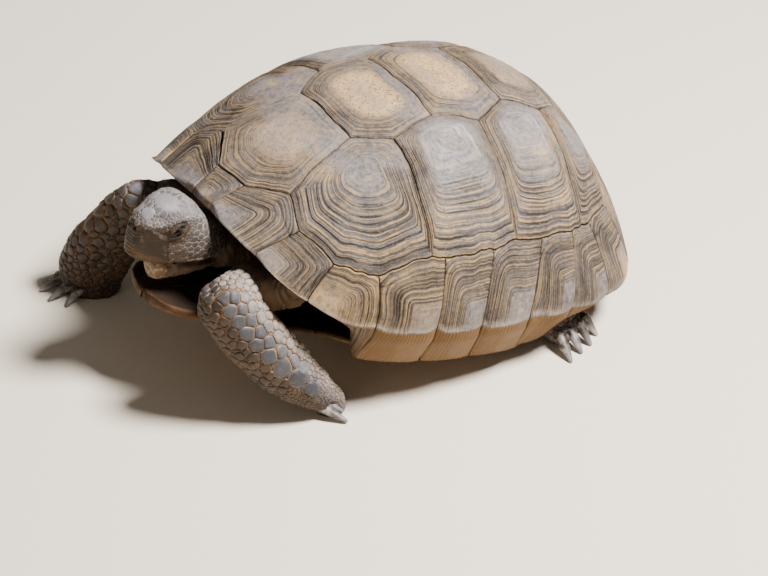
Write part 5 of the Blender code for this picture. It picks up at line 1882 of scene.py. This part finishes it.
class TORTOISE_OT_head_scales(bpy.types.Operator):
    """Covers the head with its plates and small scales"""

    bl_idname = "tortoise.head_scales"
    bl_label = "Head Plates"

    def execute(self, context):
        look = settings("scales")
        tree, middles, areas = skin_surface()
        shell = shell_matrix()
        to_shell = shell.inverted()
        p = moved_by(to_shell, middles)
        ground = moved_by(ground_matrix().inverted(), middles)
        on_legs = np.min([limb.measure(ground)[2] for limb in LIMBS.values()], axis=0) < 19
        sizes = np.where((p[:, 1] < -110) & ~on_legs, head_size(p), 0)
        fixed = []
        for x, y, size in CROWN_PLATES:
            top = Vector(moved_by(shell, np.array([[x, y, 95]]))[0])
            down = (shell.to_3x3() @ Vector((0, 0, -1))).normalized()
            spot = tree.ray_cast(top, down)[0]
            fixed.append((spot, size))
        places, kept = spread_over(middles, areas, sizes, tree, fixed, SEEDS["head_places"])

        def unwrap(points):
            q = moved_by(to_shell, points)
            turn = np.arctan2(q[:, 0], q[:, 2] - 52) / (2 * np.pi) + 0.5
            return np.stack([0.02 + 0.96 * turn, 0.02 + 0.96 * np.clip((q[:, 1] + 170) / 60, 0, 1)],
                    1)

        def height_of(size):
            return settings("skin").head_coat / MM * np.clip(size / 3.6, 0.7, 1.15)

        def marks_of(points, size, rng):
            q = moved_by(to_shell, points)
            # crown: grey-lilac over the brow and, half as much, on the upper back of the head;
            # partly real colour, partly painted light.
            top = ramp(-4, 2, q[:, 2] - at(BROW, q[:, 1]))
            behind = ramp(-149, -138, q[:, 1]) * ramp(40, 60, q[:, 2])
            return {"crown": np.clip(top + behind * 0.5, 0, 1), "tone": rng.uniform(size=len(size)),
                    "large": ramp(3, 7, size)}

        f = Finish("head_plate", specular=0.35)
        rim, crown, tone, large = f.facts("rim", "crown", "tone", "large")
        clouds, dust, grain = f.noise(120, 4), f.noise(420, 5, 0.65), f.noise(1600, 3)
        # Partly painted shade: the plates below the brow are dark brown.
        low = f.mix(clouds, SHADE["plate_dark_and_shade"], SHADE["plate_brown_and_shade"])
        base = f.over(low, look.crown, crown * (0.75 + tone * 0.25))
        base = f.over(base, SHADE["plate_blue"],
                large * crown * (0.2 + dust.above(0.4, 0.65) * 0.4))
        base = f.over(base, SHADE["plate_cloud"], clouds.above(0.46, 0.62) * large * 0.15)
        base = f.over(base, SHADE["plate_fleck"], grain.above(0.5, 0.7) * crown * 0.3)
        base = f.over(base, SHADE["plate_bead"], (1 - large) * (1 - rim.above(0.6, 0.95)) * 0.7)
        edging = f.mix(crown, SHADE["plate_edge"], settings("skin").pale)
        base = f.over(base, edging, rim.above(0.9, 1) * (0.15 + dust.above(0.35, 0.65) * 0.6))
        normal = f.relief(dust, 0.00012, f.relief(grain, 0.00006))
        material = f.done(base, 0.44 + dust * 0.22, normal)
        coat("scales_head", places, kept, tree, unwrap, height_of, marks_of, material,
                look.gap / MM * 0.35, SEEDS["head_coat"], 14)
        return {"FINISHED"}


# ---------------------------------------------------------------- claws and eyes


# How deep a claw is rooted, its radius there, and the share of its length where the tip rounds off.
CLAW_ROOT, CLAW_RADIUS, CLAW_TIP = 4.5, 3.25, 0.93


def claw_grid(root, way, size, columns=20, rows=26):
    """A claw as a grid of places: stout, rooted in the foot, bent down and blunt at its tip."""
    way = np.array(way, float)
    way /= np.linalg.norm(way)
    across = np.cross(way, (0, 0, 1))
    across /= np.linalg.norm(across)
    up = np.cross(across, way)
    share_ = np.linspace(0, 1, rows - 2) ** 0.85
    run = -CLAW_ROOT + (size + CLAW_ROOT) * share_
    sag = 1.5 * np.clip(share_ - 0.35, 0, None) ** 1.8
    tip = np.sqrt(np.clip(1 - ((share_ - CLAW_TIP) / (1 - CLAW_TIP)) ** 2, 0, 1))
    tip = np.where(share_ > CLAW_TIP, tip, 1)
    radius = CLAW_RADIUS * (1 - 0.74 * share_**1.35) * np.maximum(tip, 0.02)
    turn = np.arange(columns) * 2 * np.pi / columns
    ridge = 1 + 0.035 * np.cos(5 * turn)[None, :] * (1 - share_[:, None])
    wide = 1.12 * np.cos(turn)[None, :] * ridge
    tall = np.sin(turn)[None, :] * ridge * np.where(np.sin(turn) > 0, 0.92, 0.7)[None, :]
    middle = np.array(root) + way * run[:, None] - np.array((0, 0, 1)) * sag[:, None]
    places = middle[:, None, :] + radius[:, None, None] * (wide[..., None] * across
            + tall[..., None] * up)
    places = np.concatenate([np.broadcast_to(middle[:1, None, :], places[:1].shape), places,
            np.broadcast_to(middle[-1:, None, :] + way * 0.05, places[:1].shape)])
    level = np.concatenate([[0], share_, [1]])[:, None] + 0 * places[..., 0]
    return places, {"level": level}


class TORTOISE_OT_claws(bpy.types.Operator):
    """Makes the horny claws of the four feet"""

    bl_idname = "tortoise.claws"
    bl_label = "Claws"

    def execute(self, context):
        look = settings("scales")
        f = Finish("claw_horn", specular=0.5)
        level = f.fact("level")
        clouds, grain = f.noise(160, 4), f.noise(900, 4)
        base = f.mix(level.above(0.3, 0.9), look.umber_and_shade, look.claw)
        base = f.over(base, SHADE["claw_pale"], clouds.above(0.45, 0.65) * 0.5)
        base = f.over(base, SHADE["claw_stain"], grain.above(0.5, 0.75) * 0.3)
        material = f.done(base, 0.38 + clouds * 0.25, f.relief(grain, 0.00012))
        for name, claws in CLAWS.items():
            joined = bmesh.new()
            for root, way, size in claws:
                places, facts = claw_grid(root, way, size)
                one = grid_piece(places, facts)
                bmesh.ops.recalc_face_normals(one, faces=one.faces)
                mesh = mesh_of(one, "claw")
                joined.from_mesh(mesh)
                bpy.data.meshes.remove(mesh)
            floor = -ground_matrix().translation.z
            for vert in joined.verts:
                vert.co.z = max(vert.co.z, floor)
            finish_piece(joined, f"claws_{name}", ground_matrix(), material)
        return {"FINISHED"}


class TORTOISE_OT_eyes(bpy.types.Operator):
    """Makes the two eyes with their glossy, bulging fronts"""

    bl_idname = "tortoise.eyes"
    bl_label = "Eyes"

    def execute(self, context):
        look = settings("scales")
        f = Finish("eye", roughness=0.14, specular=0.2)
        level = f.fact("level")
        rays = f.noise(1100, 3)
        iris = f.mix(rays, look.iris, SHADE["iris_ray"])
        base = f.mix(level.above(0.3, 0.34), SHADE["pupil"], iris)
        base = f.mix(level.above(0.62, 0.72), base, SHADE["eye_edge"])
        material = f.done(base)
        for side, sign in SIDES:
            ahead = np.array((sign * 0.93, -0.28, 0.1))
            ahead /= np.linalg.norm(ahead)
            first = np.cross(ahead, (0, 0, 1))
            first /= np.linalg.norm(first)
            second = np.cross(ahead, first)
            tilt = np.linspace(0, math.pi, 25)[:, None]
            turn = (np.arange(36) * 2 * np.pi / 36)[None, :]
            radius = EYE_RADIUS - 0.15 + 0.15 * np.exp(-((tilt / 0.55) ** 2))
            around = np.cos(turn)[..., None] * first + np.sin(turn)[..., None] * second
            places = radius[..., None] * (np.cos(tilt)[..., None] * ahead + np.sin(tilt)[..., None]
                    * around)
            places = places + np.array((sign * EYE_CENTRE[0], *EYE_CENTRE[1:]))
            body = grid_piece(places, {"level": tilt / math.pi * 2 + 0 * turn})
            finish_piece(body, f"eye_{side}_ball", shell_matrix(), material,
                    (f"eye_{side}",))
        return {"FINISHED"}


# ---------------------------------------------------------------- the stage


FLOOR_RADIUS = 14
# Each light: its power's name in the settings, its width, its place and its colour.
LIGHTS = {
    "key_light": ("key", 0.4, (0.57, 0.46, 1.36), (1, 0.965, 0.91)),
    "fill_light": ("fill", 1.4, (0.35, -1.6, 0.6), (1, 0.86, 0.68)),
}
LIGHT_AIM = (0, 0, 0.05)
SKY_TINT = (1, 0.94, 0.85, 1)
FOCAL_LENGTH, SENSOR_WIDTH = 165.87, 36
NEAREST_SEEN, FURTHEST_SEEN = 0.05, 60
# The camera's right, up and backward ways, a small turn of the last, and its place.
CAMERA_RIGHT = (0.557934645, 0.828826851, 0.04189251)
CAMERA_UP = (-0.509910313, 0.302550502, 0.80526683)
CAMERA_BACK = (0.654752171, -0.470647686, 0.591430766)
TURN_RIGHT, TURN_UP = 0.0061172, 0.0219774
CAMERA_PLACE, CAMERA_NEARER = (4.726287258, -3.397340643, 4.489205691), 0.28


class TORTOISE_OT_stage(bpy.types.Operator):
    """Makes the floor, the lights and the camera"""

    bl_idname = "tortoise.stage"
    bl_label = "Stage"

    def execute(self, context):
        look = settings("stage")
        scene = context.scene
        body = bmesh.new()
        bmesh.ops.create_circle(body, cap_ends=True, segments=96, radius=FLOOR_RADIUS)
        mesh = mesh_of(body, "studio_floor")
        f = Finish("studio_paint", roughness=0.85, specular=0.2)
        cloud = f.noise(3, 2)
        mesh.materials.append(f.done(f.mix(cloud * 0.25, look.floor, SHADE["floor_cloud"])))
        floor = placed("studio_floor", mesh)

        for name, (power, size, place, tint) in LIGHTS.items():
            self.light(name, getattr(look, power), size, place, tint)
        world = bpy.data.worlds.new("studio")
        world.use_nodes = True
        world.node_tree.nodes["Background"].inputs["Color"].default_value = SKY_TINT
        world.node_tree.nodes["Background"].inputs["Strength"].default_value = look.sky
        scene.world = world

        lens = bpy.data.cameras.new("camera")
        lens.lens, lens.sensor_width = FOCAL_LENGTH, SENSOR_WIDTH
        lens.clip_start, lens.clip_end = NEAREST_SEEN, FURTHEST_SEEN
        camera = placed("camera", lens)
        right, up, back = Vector(CAMERA_RIGHT), Vector(CAMERA_UP), Vector(CAMERA_BACK)
        back = (back - right * TURN_RIGHT + up * TURN_UP).normalized()
        right = (right - back * right.dot(back)).normalized()
        up = back.cross(right)
        place = Vector(CAMERA_PLACE) * CAMERA_NEARER
        place += ground_matrix().translation * MM
        turn = Matrix((right, up, back)).transposed().to_4x4()
        camera.matrix_world = Matrix.Translation(place) @ turn
        scene.camera = camera
        return {"FINISHED"}

    @staticmethod
    def light(name, power, size, place, tint):
        lamp = bpy.data.lights.new(name, "AREA")
        lamp.shape = "DISK"
        lamp.size, lamp.energy, lamp.color = size, power, tint
        thing = placed(name, lamp)
        way = Vector(LIGHT_AIM) - Vector(place)
        thing.matrix_world = Matrix.Translation(place) @ way.to_track_quat("-Z",
                "Y").to_matrix().to_4x4()


# ---------------------------------------------------------------- the add-on


class TORTOISE_PT_panel(bpy.types.Panel):
    """Lists the tortoise's steps and their sizes and colours"""

    bl_idname = "TORTOISE_PT_panel"
    bl_label = "Tortoise"
    bl_space_type = "VIEW_3D"
    bl_region_type = "UI"
    bl_category = "Tortoise"

    def draw(self, context):
        for group, steps in STEPS:
            box = self.layout.box()
            for step in steps:
                box.operator(step.bl_idname)
            for key in settings(group).bl_rna.properties.keys():
                if key not in {"rna_type", "name"}:
                    box.prop(settings(group), key)


STEPS = (
    ("shell", (TORTOISE_OT_dome, TORTOISE_OT_rim, TORTOISE_OT_plastron)),
    ("skin", (TORTOISE_OT_skin,)),
    ("scales",
        (TORTOISE_OT_leg_scales, TORTOISE_OT_head_scales, TORTOISE_OT_claws, TORTOISE_OT_eyes)),
    ("stage", (TORTOISE_OT_stage,)),
)
GROUPS = {
    "shell": TortoiseShellSettings,
    "skin": TortoiseSkinSettings,
    "scales": TortoiseScaleSettings,
    "stage": TortoiseStageSettings,
}


def register():
    for name, group in GROUPS.items():
        bpy.utils.register_class(group)
        setattr(bpy.types.Scene, "tortoise_" + name, bpy.props.PointerProperty(type=group))
    for _, steps in STEPS:
        for step in steps:
            bpy.utils.register_class(step)
    bpy.utils.register_class(TORTOISE_PT_panel)


def unregister():
    bpy.utils.unregister_class(TORTOISE_PT_panel)
    for _, steps in STEPS:
        for step in steps:
            bpy.utils.unregister_class(step)
    for name, group in GROUPS.items():
        delattr(bpy.types.Scene, "tortoise_" + name)
        bpy.utils.unregister_class(group)


def main():
    register()
    bpy.ops.tortoise.stage()
    bpy.ops.tortoise.dome()
    bpy.ops.tortoise.rim()
    bpy.ops.tortoise.plastron()
    bpy.ops.tortoise.skin()
    bpy.ops.tortoise.leg_scales()
    bpy.ops.tortoise.head_scales()
    bpy.ops.tortoise.claws()
    bpy.ops.tortoise.eyes()


if __name__ == "__main__":
    main()
